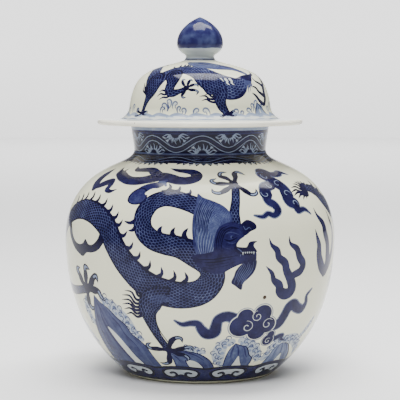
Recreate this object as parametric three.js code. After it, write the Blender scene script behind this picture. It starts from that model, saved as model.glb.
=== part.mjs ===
import * as THREE from 'three';

// A covered ginger jar in glazed porcelain, 377 mm tall to the tip of its knob.
// Millimetres, +Z up. The jar's axis is Z and it stands on its foot ring at z = 0.
// Every section is thrown on the wheel, so every one is a lathe profile of (radius, height)
// points. The sections are luted to each other with slip, and the lid lifts off.

const SLIP = 0.3;                 // slip between luted sections, and lid to rim
const FACETS = 48;                // sides of the jar's and the lid's turned pieces
const KNOB_FACETS = 32;

// Jar, outside
const FOOT = { innerR: 68, outerR: 78.6, edgeR: 79.9, edgeZ: 1.1, recessR: 66.4, recessZ: 6.5 };
const BELLY = { r: 143.1, z: 144.4 };
const SHOULDER = { r: 101.4, z: 216.2, fallR: 5.7, fallZ: 3.1 };
const WAIST = { r: 70, z: 236.6 };
const RIM = { r: 73.4, z: 263, round: 1.5 };

// Jar, how far the handles of the profile's curves reach from their ends
const FOOT_AIM = { r: 118.5, z: 32 };
const BELLY_PULL = { down: 68.2, up: 50.3 };
const WAIST_PULL = { down: 8.5, up: 6.2 };
const RIM_PULL = { inward: 1.1, down: 10 };

// Jar, walls
const WALL = 6.5;                 // wall at the belly
const FOOT_WALL = 9.5;            // the wall is left thicker near the foot
const NECK_WALL = 6;
const SEAM_RIDGE = 1.6;           // slip squeezed into a low ridge inside the belly seam
const SEAM_RIDGE_REACH = 8;
const FLOOR_Z = 15.5;
const FLOOR_FILLET = { r: 72, rise: 0.8, clear: 3 };

// Lid
const FLANGE = { r: 108.8, under: RIM.z + SLIP, thick: 5.5, innerR: 57.8, flareR: 88, flareZ: 269.4 };
const DOME = { r: 75, z: 282.4, topR: 20.9, topZ: 329.8 };
const FLARE_PULL = { r: 80, rise: 0.9, outward: 0.3, down: 5.9 };
const CROWN_AIM = { side: [69.7, 317.2], top: [58.4, 320.8] };
const LID_WALL = 5.5;
const SEAT = { r: 16.8, z: 331.4 };
const VENT_R = 3;                 // lets the air out of the hollow knob in the kiln
const COLLAR = { outerR: 62.3, innerR: 57.8, depth: 13, edge: 1.2 };

// Knob
const STEM = { footR: 16.2, r: 14.8, z: 334.4 };
const STEM_PULL = 4.5;
const BUD = { r: 24.4, z: 349.3, tipZ: 376.8, pullDown: 11.2, pullUp: 14, tipR: 10, tipFall: 3.5 };
const BUD_HOLLOW = { r: 17.5, z: 350, throatZ: 339, topZ: 367 };
const HOLLOW_PULL = { topR: 8, topFall: 2, sideUp: 10, sideDown: 7, throatUp: 5 };

const GLAZE = { roughness: 0.12, metalness: 0 };

const point = (r, z) => new THREE.Vector2(r, z);

function bezier(...pairs) {
  return new THREE.CubicBezierCurve(...pairs.map(([r, z]) => point(r, z)));
}

// An arc of a circle about (r, z), from one angle to another in degrees.
function arc(r, z, radius, from, to, steps) {
  const points = [];
  for (let i = 0; i <= steps; i += 1) {
    const angle = THREE.MathUtils.degToRad(from + ((to - from) * i) / steps);
    points.push(point(r + radius * Math.cos(angle), z + radius * Math.sin(angle)));
  }
  return points;
}

// The outside of a wall along curves that run upward, and its inside, one wall's thickness
// nearer the axis. Thickness is a function of height.
function wall(curves, steps, thickness) {
  const outside = [];
  const inside = [];
  curves.forEach((curve, n) => {
    for (let i = n === 0 ? 0 : 1; i <= steps; i += 1) {
      const at = curve.getPoint(i / steps);
      const along = curve.getTangent(i / steps);
      const deep = thickness(at.y);
      outside.push(at);
      inside.push(point(at.x - along.y * deep, at.y + along.x * deep));
    }
  });
  return { outside, inside };
}

// A turned piece. Its profile runs up the outside and down the inside. It starts and ends on
// the axis, or it is a ring, whose profile closes on its first point.
function turned(name, profile, color, { finish = GLAZE, facets = FACETS } = {}) {
  const onAxis = profile[0].x === 0;
  const points = onAxis ? profile : [...profile, profile[0].clone()];
  const geometry = new THREE.LatheGeometry(points, facets);
  geometry.rotateX(Math.PI / 2);
  const mesh = new THREE.Mesh(geometry, new THREE.MeshStandardMaterial({ color, ...finish }));
  mesh.name = name;
  return mesh;
}

function seamRidge(z) {
  return SEAM_RIDGE * Math.exp(-(((z - BELLY.z) / SEAM_RIDGE_REACH) ** 2));
}

const jarCurves = {
  lower: bezier(
    [FOOT.edgeR + 1.6, FOOT.edgeZ + 1.2],
    [FOOT_AIM.r, FOOT_AIM.z],
    [BELLY.r, BELLY.z - BELLY_PULL.down],
    [BELLY.r, BELLY.z - SLIP / 2],
  ),
  upper: bezier(
    [BELLY.r, BELLY.z + SLIP / 2],
    [BELLY.r, BELLY.z + BELLY_PULL.up],
    [SHOULDER.r + SHOULDER.fallR, SHOULDER.z - SHOULDER.fallZ],
    [SHOULDER.r, SHOULDER.z],
  ),
  slope: bezier(
    [SHOULDER.r, SHOULDER.z],
    [SHOULDER.r - 3 * SHOULDER.fallR, SHOULDER.z + 3 * SHOULDER.fallZ],
    [WAIST.r, WAIST.z - WAIST_PULL.down],
    [WAIST.r, WAIST.z - SLIP / 2],
  ),
  neck: bezier(
    [WAIST.r, WAIST.z + SLIP / 2],
    [WAIST.r, WAIST.z + WAIST_PULL.up],
    [RIM.r - RIM_PULL.inward, RIM.z - RIM_PULL.down],
    [RIM.r, RIM.z - RIM.round],
  ),
};

// Foot ring, recessed base and wall, up to the seam at the widest place.
function jarLowerBody() {
  const thickness = (z) => {
    const rise = Math.min(z / BELLY.z, 1);
    return FOOT_WALL + (WALL - FOOT_WALL) * rise ** 0.6 + seamRidge(z);
  };
  const { outside, inside } = wall([jarCurves.lower], 13, thickness);
  const inner = inside.reverse().filter((p) => p.y > FLOOR_Z + FLOOR_FILLET.clear);
  return turned('jar_lower_body', [
    point(0, FOOT.recessZ),
    point(FOOT.recessR, FOOT.recessZ),
    point(FOOT.innerR - 0.6, 0.6),
    point(FOOT.innerR, 0),
    point(FOOT.outerR, 0),
    point(FOOT.edgeR, FOOT.edgeZ),
    ...outside,
    ...inner,
    point(FLOOR_FILLET.r, FLOOR_Z + FLOOR_FILLET.rise),
    point(0, FLOOR_Z),
  ], 0xc3c9c2);
}

// From the belly seam over the shoulder to the foot of the neck.
function jarUpperBody() {
  const thickness = (z) => {
    const rise = (z - BELLY.z) / (WAIST.z - BELLY.z);
    return WALL + (NECK_WALL - WALL) * rise + seamRidge(z);
  };
  const { outside, inside } = wall([jarCurves.upper, jarCurves.slope], 8, thickness);
  return turned('jar_upper_body', [...outside, ...inside.reverse()], 0xbfc6c6);
}

// A short collar with a flat, rounded rim that carries the lid.
function jarNeck() {
  const { outside, inside } = wall([jarCurves.neck], 6, () => NECK_WALL);
  inside.pop();
  return turned('jar_neck', [
    ...outside,
    point(RIM.r - RIM.round, RIM.z),
    point(RIM.r - NECK_WALL + 0.9, RIM.z),
    point(RIM.r - NECK_WALL, RIM.z - RIM.round),
    ...inside.reverse(),
  ], 0xaab4c0);
}

// Dome and flange in one, with a ledge under the dome that the locating collar is luted to.
function lidDome() {
  const lipR = FLANGE.thick / 2;
  const flare = bezier(
    [FLANGE.flareR, FLANGE.flareZ],
    [FLARE_PULL.r, FLANGE.flareZ + FLARE_PULL.rise],
    [DOME.r + FLARE_PULL.outward, DOME.z - FLARE_PULL.down],
    [DOME.r, DOME.z],
  );
  const crown = bezier(
    [DOME.r, DOME.z],
    CROWN_AIM.side,
    CROWN_AIM.top,
    [DOME.topR, DOME.topZ],
  );
  const { inside } = wall([crown], 9, () => LID_WALL);
  return turned('lid_dome', [
    point(FLANGE.innerR, FLANGE.under),
    ...arc(FLANGE.r - lipR, FLANGE.under + lipR, lipR, -90, 90, 6),
    ...flare.getPoints(6),
    ...crown.getPoints(9).slice(1),
    point(SEAT.r, SEAT.z),
    point(VENT_R, SEAT.z),
    point(VENT_R, SEAT.z - LID_WALL - 0.4),
    ...inside.reverse(),
    point(DOME.r - LID_WALL + 0.4, FLANGE.under + FLANGE.thick + 3),
    point(DOME.r - LID_WALL - 2, FLANGE.under + FLANGE.thick + 0.6),
    point(FLANGE.innerR, FLANGE.under + FLANGE.thick),
  ], 0xc6ccd6);
}

// The ring that drops inside the neck and keeps the lid central.
function lidLocatingCollar() {
  const top = FLANGE.under - SLIP;
  const foot = top - COLLAR.depth;
  return turned('lid_locating_collar', [
    point(COLLAR.innerR + COLLAR.edge, foot),
    point(COLLAR.outerR - COLLAR.edge, foot),
    point(COLLAR.outerR, foot + COLLAR.edge),
    point(COLLAR.outerR, top),
    point(COLLAR.innerR, top),
    point(COLLAR.innerR, foot + COLLAR.edge),
  ], 0xd2cdbd, { finish: { roughness: 0.55, metalness: 0 } });
}

// A pointed bud on a short stem. It is hollow, and its throat meets the vent in the dome.
function lidFinial() {
  const base = SEAT.z + SLIP;
  const outer = [
    bezier(
      [STEM.r, STEM.z],
      [STEM.r, STEM.z + STEM_PULL],
      [BUD.r, BUD.z - BUD.pullDown],
      [BUD.r, BUD.z],
    ),
    bezier(
      [BUD.r, BUD.z],
      [BUD.r, BUD.z + BUD.pullUp],
      [BUD.tipR, BUD.tipZ - BUD.tipFall],
      [0, BUD.tipZ],
    ),
  ];
  const hollow = [
    bezier(
      [0, BUD_HOLLOW.topZ],
      [HOLLOW_PULL.topR, BUD_HOLLOW.topZ - HOLLOW_PULL.topFall],
      [BUD_HOLLOW.r, BUD_HOLLOW.z + HOLLOW_PULL.sideUp],
      [BUD_HOLLOW.r, BUD_HOLLOW.z],
    ),
    bezier(
      [BUD_HOLLOW.r, BUD_HOLLOW.z],
      [BUD_HOLLOW.r, BUD_HOLLOW.z - HOLLOW_PULL.sideDown],
      [VENT_R, BUD_HOLLOW.throatZ + HOLLOW_PULL.throatUp],
      [VENT_R, BUD_HOLLOW.throatZ],
    ),
  ];
  const profile = [
    ...hollow[0].getPoints(5),
    ...hollow[1].getPoints(5).slice(1),
    point(VENT_R, base),
    point(STEM.footR, base),
    point(STEM.footR - 0.6, base + 1.2),
    ...outer[0].getPoints(7),
    ...outer[1].getPoints(9).slice(1),
  ];
  profile[0].x = 0;
  profile[profile.length - 1].x = 0;
  return turned('lid_finial', profile, 0x3a4a7c, { facets: KNOB_FACETS });
}

const jar = new THREE.Group();
jar.add(jarLowerBody(), jarUpperBody(), jarNeck());

const lid = new THREE.Group();
lid.add(lidDome(), lidLocatingCollar(), lidFinial());

const gingerJar = new THREE.Group();
gingerJar.add(jar, lid);

export default gingerJar;
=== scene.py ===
"""A covered blue-and-white porcelain jar: the glazed and painted surfaces over the CAD frame.

Places on the painted walls are (azimuth in degrees, height in millimetres). Azimuth 0 faces the
camera and grows towards +X. Widths and lengths of brush strokes are millimetres on the surface.
Ink runs from 0, the bare white glaze, to 1, the darkest cobalt.
"""
import math

import bpy
import numpy as np
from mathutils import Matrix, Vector
from mathutils.geometry import delaunay_2d_cdt


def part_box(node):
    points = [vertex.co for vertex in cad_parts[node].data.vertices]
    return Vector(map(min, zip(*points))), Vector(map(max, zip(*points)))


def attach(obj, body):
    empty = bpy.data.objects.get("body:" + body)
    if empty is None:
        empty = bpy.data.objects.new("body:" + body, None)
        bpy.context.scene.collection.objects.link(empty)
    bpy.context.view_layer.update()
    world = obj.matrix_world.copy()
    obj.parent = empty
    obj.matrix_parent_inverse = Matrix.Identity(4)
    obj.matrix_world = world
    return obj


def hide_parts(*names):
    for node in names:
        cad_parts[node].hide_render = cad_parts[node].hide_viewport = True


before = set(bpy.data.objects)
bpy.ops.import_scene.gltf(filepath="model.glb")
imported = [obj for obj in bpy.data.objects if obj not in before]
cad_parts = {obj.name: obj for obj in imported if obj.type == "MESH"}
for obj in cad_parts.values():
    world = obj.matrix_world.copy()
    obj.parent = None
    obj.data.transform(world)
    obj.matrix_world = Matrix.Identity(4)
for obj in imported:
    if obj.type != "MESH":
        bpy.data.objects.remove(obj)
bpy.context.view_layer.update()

MM = 0.001


# ------------------------------------------------------------------ sizes from the CAD frame

def reach(node):
    """(largest radius, lowest z, highest z) of a turned CAD node, in millimetres."""
    low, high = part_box(node)
    return high[0] / MM, low[2] / MM, high[2] / MM


SLIP = 0.3                        # gap that the CAD leaves between luted sections
BELLY_R, _, BELLY_Z = reach("jar_lower_body")
RIM_R, WAIST_Z, RIM_Z = reach("jar_neck")
FLANGE_R, FLANGE_Z, CROWN_Z = reach("lid_dome")
COLLAR_R, COLLAR_Z, COLLAR_TOP = reach("lid_locating_collar")
BUD_R, STEM_Z, TIP_Z = reach("lid_finial")
BELLY_Z += SLIP / 2
WAIST_Z -= SLIP / 2

FOOT_R = 79.9                     # outer edge of the foot ring
FOOT_EDGE_Z = 1.1                 # height of that edge's small bevel
FOOT_INNER_R = 68
RECESS_Z = 6.5
FLOOR_Z = 15.5
FLOOR_R = 72                      # where the inside floor turns up into the wall
WAIST_R = 70
SHOULDER = (101.4, WAIST_Z - 20.4)
WALL = 6.5
RIM_ROUND = 1.5                   # rounding of the rim's outer edge
RIM_INNER_ROUND = 1.4             # and of its inner edge
RIM_WIDTH = 5.1                   # from the outer edge to where the inner rounding starts
DOME_R = 75
DOME_Z = FLANGE_Z + 19.1          # where the dome's side is upright, above the flare
CROWN_R = 20.9                    # the dome's top edge
CROWN_RISE = 47.4                 # and its height above DOME_Z
LID_WALL = 5.5
LIP = 5.5                         # thickness of the flange
VENT_R = 3                        # vent from the dome into the hollow knob
HOLLOW_R = 12                     # inside of the hollow knob
COLLAR_INNER_R = COLLAR_R - 4.5
COLLAR_BEVEL = 1.2
STEM_R = 14.8
BUD_Z = STEM_Z + 17.6             # where the knob is widest

# the handles that bend the profile's curves, as in the CAD: where a handle lies (AIM), or how far
# it lies from the end of its curve
FOOT_AIM = (118.5, 32)
BELLY_DOWN = 68.2
BELLY_UP = 50.3
SHOULDER_FALL = (5.7, 3.1)
WAIST_DOWN = 8.5
WAIST_UP = 6.2
RIM_PULL = (1.1, 10)
FLARE_R = 88                      # where the flange starts to rise into the dome
DOME_DOWN = 5.9
DOME_AIM = (69.7, 34.8)           # this height and the next are counted from DOME_Z
CROWN_AIM = (58.4, 38.4)
BUD_DOWN = 11.2
BUD_UP = 14


# ------------------------------------------------------------------ profiles of revolution

def bezier(a, b, c, d, steps=40):
    """A cubic curve from a to d, pulled towards the handles b and c."""
    t = np.linspace(0, 1, steps + 1)[:, None]
    a, b, c, d = (np.array(p, float) for p in (a, b, c, d))
    return (1 - t) ** 3 * a + 3 * (1 - t) ** 2 * t * b + 3 * (1 - t) * t * t * c + t ** 3 * d


def arc(r, z, radius, start, end, steps=12):
    """Part of a circle about (r, z), from one angle to another in degrees."""
    angle = np.radians(np.linspace(start, end, steps + 1))
    return np.stack([r + radius * np.cos(angle), z + radius * np.sin(angle)], 1)


def join(*parts):
    """One outline from curves and points that follow each other, without doubled points."""
    points = np.vstack([np.atleast_2d(np.array(p, float)) for p in parts])
    step = np.hypot(*np.diff(points, axis=0).T)
    return points[np.concatenate([[True], step > 1e-6])]


def inset(curve, depth):
    """The curve moved a wall's depth towards the hollow. The curve runs upward."""
    along = np.gradient(curve, axis=0)
    along /= np.hypot(*along.T)[:, None]
    return curve + depth * np.stack([-along[:, 1], along[:, 0]], 1)


class Wall:
    """The outside of a turned piece, measured by the distance along its profile."""

    def __init__(self, profile):
        self.r, self.z = profile.T
        self.s = np.concatenate([[0], np.cumsum(np.hypot(*np.diff(profile, axis=0).T))])
        self.normal = np.stack([np.gradient(self.z, self.s), -np.gradient(self.r, self.s)], 1)
        self.normal /= np.hypot(*self.normal.T)[:, None]

    def radius(self, s):
        """Radius at a distance along the profile."""
        return np.interp(s, self.s, self.r)

    def height(self, s):
        """Height at a distance along the profile."""
        return np.interp(s, self.s, self.z)

    def along(self, height):
        """Distance along the profile at a height. Heights grow along it."""
        return np.interp(height, self.z, self.s)

    def normal_at(self, s):
        """The outward direction (radial, up) at a distance along the profile."""
        return np.stack([np.interp(s, self.s, self.normal[:, i]) for i in (0, 1)], -1)


lower_curve = bezier((FOOT_R + 1.6, FOOT_EDGE_Z + 1.2), FOOT_AIM,
                     (BELLY_R, BELLY_Z - BELLY_DOWN), (BELLY_R, BELLY_Z))
upper_curve = bezier((BELLY_R, BELLY_Z), (BELLY_R, BELLY_Z + BELLY_UP),
                     (SHOULDER[0] + SHOULDER_FALL[0], SHOULDER[1] - SHOULDER_FALL[1]), SHOULDER)
slope_curve = bezier(SHOULDER, (SHOULDER[0] - 3 * SHOULDER_FALL[0], SHOULDER[1] + 3 * SHOULDER_FALL[1]),
                     (WAIST_R, WAIST_Z - WAIST_DOWN), (WAIST_R, WAIST_Z))
neck_curve = bezier((WAIST_R, WAIST_Z), (WAIST_R, WAIST_Z + WAIST_UP),
                    (RIM_R - RIM_PULL[0], RIM_Z - RIM_PULL[1]), (RIM_R, RIM_Z - RIM_ROUND))
flare_curve = bezier((FLARE_R, FLANGE_Z + 6.1), (FLARE_R - 8, FLANGE_Z + 7),
                     (DOME_R + 0.3, DOME_Z - DOME_DOWN), (DOME_R, DOME_Z))
crown_curve = bezier((DOME_R, DOME_Z), (DOME_AIM[0], DOME_Z + DOME_AIM[1]),
                     (CROWN_AIM[0], DOME_Z + CROWN_AIM[1]), (CROWN_R, DOME_Z + CROWN_RISE))

jar_wall = Wall(join((FOOT_R, FOOT_EDGE_Z), lower_curve, upper_curve, slope_curve, neck_curve))
lid_wall = Wall(join((FLANGE_R - LIP / 2, FLANGE_Z + LIP), flare_curve, crown_curve, (16.4, CROWN_Z)))


# ------------------------------------------------------------------ brushwork on a wall

FLAT, SKIN = 0, 1                 # how a shape's ink is laid: plain, or in scales
IRON = 1.5                        # the ink value of a brown iron speck in the glaze
STEP = 1.3                        # spacing of the points of an outline
GRID = 3.4                        # spacing of a skin's own points, between the outlines
CHUNK = 2000                      # points or triangles worked on at once, to keep memory small


def smooth(points, closed=False, step=STEP):
    """A curve through the points (Catmull-Rom), with a point about every step."""
    p = np.array(points, float)
    if closed:
        p = np.vstack([p[-1], p, p[:2]])
    else:
        p = np.vstack([2 * p[0] - p[1], p, 2 * p[-1] - p[-2]])
    parts = []
    for a, b, c, d in zip(p[:-3], p[1:-2], p[2:-1], p[3:]):
        count = max(2, int(math.ceil(np.hypot(*(c - b)) / step)))
        t = np.linspace(0, 1, count, endpoint=False)[:, None]
        parts.append(0.5 * (2 * b + (c - a) * t + (2 * a - 5 * b + 4 * c - d) * t ** 2
                            + (3 * b - a - 3 * c + d) * t ** 3))
    if not closed:
        parts.append(p[-2][None])
    return np.vstack(parts)


def spread(values, t):
    """Values at equal steps from 0 to 1, read smoothly at t."""
    if len(values) < 3:
        return np.interp(t, np.linspace(0, 1, len(values)), values)
    curve = smooth([(i / (len(values) - 1), v) for i, v in enumerate(values)], step=0.02)
    return np.maximum(np.interp(t, curve[:, 0], curve[:, 1]), 0.05)


class Canvas:
    """Brush strokes on one wall. Later shapes are painted over earlier ones.

    Inside the canvas a place is flat: x is the azimuth in radians times the wall's largest
    radius, y is the distance along the profile. stretch() says how much wider x must be there
    for a millimetre on the surface.
    """

    def __init__(self, wall):
        self.wall = wall
        self.scale = wall.r.max()
        self.shapes = []
        self.turn = 0.0

    def flat(self, places):
        """Places as flat points."""
        p = np.array(places, float)
        x = np.radians(p[:, 0] + self.turn) * self.scale
        return np.stack([x, self.wall.along(p[:, 1])], 1)

    def stretch(self, y):
        """Flat width of a millimetre on the surface, at a distance along the profile."""
        return self.scale / self.wall.radius(y)

    def spot(self, place, offsets):
        """Offsets in millimetres (right, up) from a place, flattened."""
        at = self.flat([place])[0]
        o = np.array(offsets, float)
        return np.stack([at[0] + o[:, 0] * self.stretch(at[1] + o[:, 1]), at[1] + o[:, 1]], 1)

    def paint(self, outline, ink, lay=FLAT, path=None, widths=None):
        """A shape inside a flat outline. A stroke's path and widths say how its scales run."""
        self.shapes.append((np.asarray(outline), ink, lay, path, widths))

    def fill(self, places, ink, **how):
        """A closed smooth shape through the places."""
        self.paint(smooth(self.flat(places), closed=True), ink, **how)

    def patch(self, places, ink, **how):
        """A closed shape with corners."""
        p = self.flat(places)
        sides = zip(p, np.roll(p, -1, axis=0))
        dense = [a + (b - a) * t for a, b in sides
                 for t in np.arange(0, 1, min(0.5, STEP / max(np.hypot(*(b - a)), 1e-6)))]
        self.paint(np.array(dense), ink, **how)

    def ribbon(self, path, widths):
        """The outline of a stroke along a flat path, with its widths spread from end to end."""
        turn = np.stack([self.stretch(path[:, 1]), np.ones(len(path))], 1)
        step = np.gradient(path, axis=0) / turn
        length = np.maximum(np.hypot(*step.T), 1e-9)
        side = np.stack([-step[:, 1], step[:, 0]], 1) / length[:, None]
        run = np.concatenate([[0], np.cumsum(np.hypot(*(np.diff(path, axis=0) / turn[1:]).T))])
        half = spread(widths, run / run[-1])[:, None] / 2
        left, right = path + side * half * turn, path - side * half * turn
        caps = []
        for end, sign in ((0, -1), (-1, 1)):
            ahead = step[end] / length[end]
            angle = np.linspace(0, math.pi, max(3, int(half[end, 0] * 3)) + 2)[1:-1, None]
            offset = sign * (side[end] * np.cos(angle) + ahead * np.sin(angle))
            caps.append(path[end] + offset * half[end] * turn[end])
        return np.vstack([left, caps[1], right[::-1], caps[0]])

    def stroke(self, places, widths, ink, lay=FLAT, edge=0.0, edge_ink=1.0):
        """A brush stroke through the places. With an edge it gets a line round it."""
        self.line(smooth(self.flat(places)), widths, ink, lay, edge, edge_ink)

    def line(self, path, widths, ink, lay=FLAT, edge=0.0, edge_ink=1.0):
        """A stroke along a flat path."""
        if edge:
            self.paint(self.ribbon(path, [w + 2 * edge for w in widths]), edge_ink)
        self.paint(self.ribbon(path, widths), ink, lay, path, widths)

    def spiral(self, place, size, turns, ink, width, start=0.0, clockwise=False):
        """A stroke that winds in to its centre. start is the angle of its outer end."""
        t = np.linspace(0, 1, int(10 * turns) + 4)
        way = -1 if clockwise else 1
        angle = math.radians(start) + way * t * turns * 2 * math.pi
        offsets = np.stack([np.cos(angle), np.sin(angle)], 1) * (size * (1 - 0.82 * t))[:, None]
        path = smooth(self.spot(place, offsets), step=1.0)
        self.line(path, [width * 0.5, width, width], ink)

    def disc(self, place, size, ink, flatten=1.0):
        """A round spot of this radius, or a flattened one."""
        angle = np.linspace(0, 2 * math.pi, max(10, int(size * 5)), endpoint=False)
        ring = np.stack([np.cos(angle) * size, np.sin(angle) * size * flatten], 1)
        self.paint(self.spot(place, ring), ink)

    def twice(self, draw):
        """The same drawing on the front and on the back."""
        for self.turn in (0, 180):
            draw(self)
        self.turn = 0.0


def inside(outline, points):
    """Which points lie inside an outline that may cross itself (winding number not zero)."""
    ax, ay = outline.T
    bx, by = np.roll(outline, -1, axis=0).T
    px, py = points[:, 0][:, None], points[:, 1][:, None]
    left = (bx - ax) * (py - ay) - (px - ax) * (by - ay)
    up = (ay <= py) & (by > py) & (left > 0)
    down = (ay > py) & (by <= py) & (left < 0)
    return (up.sum(1) - down.sum(1)) != 0


def ribbon_place(path, widths, points, stretch):
    """How far along a stroke points are, how far across it and how near its edge, in millimetres."""
    mm = path / np.stack([stretch(path[:, 1]), np.ones(len(path))], 1)
    run = np.concatenate([[0], np.cumsum(np.hypot(*np.diff(mm, axis=0).T))])
    half = spread(widths, run / run[-1]) / 2
    a, step = path[:-1], np.diff(path, axis=0)
    length2 = np.maximum((step ** 2).sum(1), 1e-9)
    along, across, room = (np.zeros(len(points)) for _ in range(3))
    for start in range(0, len(points), CHUNK):
        chunk = slice(start, start + CHUNK)
        away = points[chunk][:, None] - a[None]
        t = np.clip((away * step).sum(2) / length2, 0, 1)
        gap = away - t[:, :, None] * step
        gap[:, :, 0] /= stretch(points[chunk][:, 1])[:, None]
        distance2 = (gap ** 2).sum(2)
        nearest = distance2.argmin(1)
        row = np.arange(len(nearest))
        t = t[row, nearest]
        along[chunk] = run[nearest] + t * (run[nearest + 1] - run[nearest])
        sign = np.sign(step[nearest, 0] * gap[row, nearest, 1] - step[nearest, 1] * gap[row, nearest, 0])
        distance = np.sqrt(distance2[row, nearest])
        across[chunk] = sign * distance
        room[chunk] = half[nearest] + t * (half[nearest + 1] - half[nearest]) - distance
    return along, across, room


def lattice(low, high, half_turn, grid):
    """Staggered rows of flat points over a skin, and the edges of its lowest and highest row."""
    rows = max(2, int(round((high - low) / grid)))
    columns = int(round(2 * half_turn / grid / 1.05))
    points, edges = [], []
    for j in range(rows + 1):
        y = low + (high - low) * j / rows
        shift = 0.5 if j % 2 and j < rows else 0.0
        xs = -half_turn + (np.arange(columns + 1) + shift) * 2 * half_turn / columns
        xs = xs[xs <= half_turn + 1e-6]
        if shift:
            xs = np.concatenate([[-half_turn], xs, [half_turn]])
        first = len(points)
        points += [(x, y) for x in xs]
        if j in (0, rows):
            edges += [(first + i, first + i + 1) for i in range(len(xs) - 1)]
    return points, edges


def shapes_within(canvas, low, high, half_turn):
    """The shapes that reach a skin, each wherever whole turns bring it, so that it may cross the seam."""
    shapes = []
    for outline, *how in canvas.shapes:
        for wrap in (-2 * half_turn, 0, 2 * half_turn):
            x, y = outline[:, 0] + wrap, outline[:, 1]
            if x.max() < -half_turn or x.min() > half_turn or y.max() < low or y.min() > high:
                continue
            shapes.append((np.stack([x, y], 1), wrap, *how))
    return shapes


def triangles(shapes, low, high, half_turn, grid):
    """The flat skin cut along every outline: its points, its triangles and their middles."""
    points, edges = lattice(low, high, half_turn, grid)
    for outline, *_ in shapes:
        first, count = len(points), len(outline)
        points += list(outline)
        edges += [(first + i, first + (i + 1) % count) for i in range(count)]
    first = len(points)
    points += [(-half_turn, low), (half_turn, low), (half_turn, high), (-half_turn, high)]
    edges += [(first + 1, first + 2), (first + 3, first)]
    cut = delaunay_2d_cdt([Vector(p) for p in points], edges, [], 0, 1e-5, False)
    verts, faces = np.array([tuple(v) for v in cut[0]]), np.array(cut[2])
    middle = verts[faces].mean(1)
    keep = (np.abs(middle[:, 0]) < half_turn) & (middle[:, 1] > low) & (middle[:, 1] < high)
    return verts, faces[keep], middle[keep]


def top_shapes(shapes, middle):
    """The number of the shape that was painted last over each triangle, or -1 for none."""
    owner = np.full(len(middle), -1)
    order = np.argsort(middle[:, 0])
    sorted_x = middle[order, 0]
    for n, (outline, *_) in enumerate(shapes):
        (x0, y0), (x1, y1) = outline.min(0), outline.max(0)
        near = order[np.searchsorted(sorted_x, x0):np.searchsorted(sorted_x, x1)]
        near = near[(middle[near, 1] > y0) & (middle[near, 1] < y1)]
        for start in range(0, len(near), CHUNK):
            part = near[start:start + CHUNK]
            owner[part[inside(outline, middle[part])]] = n
    return owner


def brush_values(canvas, shapes, owner, verts, faces):
    """What the glaze reads at every corner of every triangle."""
    ink, skin = np.zeros(len(faces)), np.zeros(len(faces))
    along, across, room = (np.zeros(faces.shape) for _ in range(3))
    for n, (_, wrap, tone, lay, path, widths) in enumerate(shapes):
        mine = np.nonzero(owner == n)[0]
        ink[mine] = tone
        if lay == FLAT or not len(mine):
            continue
        skin[mine] = 1
        used, where = np.unique(faces[mine], return_inverse=True)
        on_stroke = ribbon_place(path + [wrap, 0], widths, verts[used], canvas.stretch)
        for values, target in zip(on_stroke, (along, across, room)):
            target[mine] = values[where].reshape(-1, 3)
    return {"ink": np.repeat(ink, 3), "skin": np.repeat(skin, 3), "along": along.ravel(),
            "across": across.ravel(), "room": room.ravel()}


def weld_seam(verts, faces, half_turn):
    """The points and triangles with the skin's two upright edges joined at the back."""
    partner = {round(y, 3): i for i, (x, y) in enumerate(verts) if abs(x + half_turn) < 1e-4}
    welded = np.arange(len(verts))
    for i in np.nonzero(np.abs(verts[:, 0] - half_turn) < 1e-4)[0]:
        welded[i] = partner.get(round(verts[i, 1], 3), i)
    used, faces = np.unique(welded[faces], return_inverse=True)
    return verts[used], faces.reshape(-1, 3)


def painted_skin(name, canvas, low, high, material, grid=GRID):
    """The painted outside of a wall from one distance along it to another, as one mesh."""
    half_turn = math.pi * canvas.scale
    shapes = shapes_within(canvas, low, high, half_turn)
    verts, faces, middle = triangles(shapes, low, high, half_turn, grid)
    brush = brush_values(canvas, shapes, top_shapes(shapes, middle), verts, faces)
    verts, faces = weld_seam(verts, faces, half_turn)

    angle, y = verts[:, 0] / canvas.scale, verts[:, 1]
    r, z = canvas.wall.radius(y), canvas.wall.height(y)
    places = np.stack([r * np.sin(angle), -r * np.cos(angle), z], 1) * MM
    nr, nz = canvas.wall.normal_at(y).T
    normals = np.stack([nr * np.sin(angle), -nr * np.cos(angle), nz], 1)

    mesh = bpy.data.meshes.new(name)
    mesh.from_pydata(places.tolist(), [], faces.tolist())
    for key, values in brush.items():
        layer = mesh.attributes.new(key, "FLOAT", "CORNER")
        layer.data.foreach_set("value", values.astype(np.float32))
    mesh.polygons.foreach_set("use_smooth", [True] * len(faces))
    mesh.normals_split_custom_set_from_vertices(normals.tolist())
    return piece(name, mesh, material)


def piece(name, mesh, material):
    """A mesh in its material, put into the scene."""
    mesh.materials.append(material)
    thing = bpy.data.objects.new(name, mesh)
    bpy.context.scene.collection.objects.link(thing)
    return thing


def turned(name, profile, material, sides=160):
    """A smooth turned surface from an outline of (radius, height) points in millimetres."""
    points = np.array(profile, float)
    on_axis = points[:, 0] < 1e-6
    verts, rings = [], []
    for (r, z), single in zip(points, on_axis):
        count = 1 if single else sides
        angle = np.arange(count) * 2 * math.pi / sides
        rings.append(range(len(verts), len(verts) + count))
        verts += [(r * math.sin(a) * MM, -r * math.cos(a) * MM, z * MM) for a in angle]
    faces = []
    for low, high in zip(rings, rings[1:]):
        for i in range(sides):
            j = (i + 1) % sides
            corner = [low[i % len(low)], low[j % len(low)], high[j % len(high)], high[i % len(high)]]
            faces.append(list(dict.fromkeys(corner)))
    mesh = bpy.data.meshes.new(name)
    mesh.from_pydata(verts, [], [f for f in faces if len(f) > 2])
    mesh.polygons.foreach_set("use_smooth", [True] * len(mesh.polygons))
    return piece(name, mesh, material)


# ------------------------------------------------------------------ motifs

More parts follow.
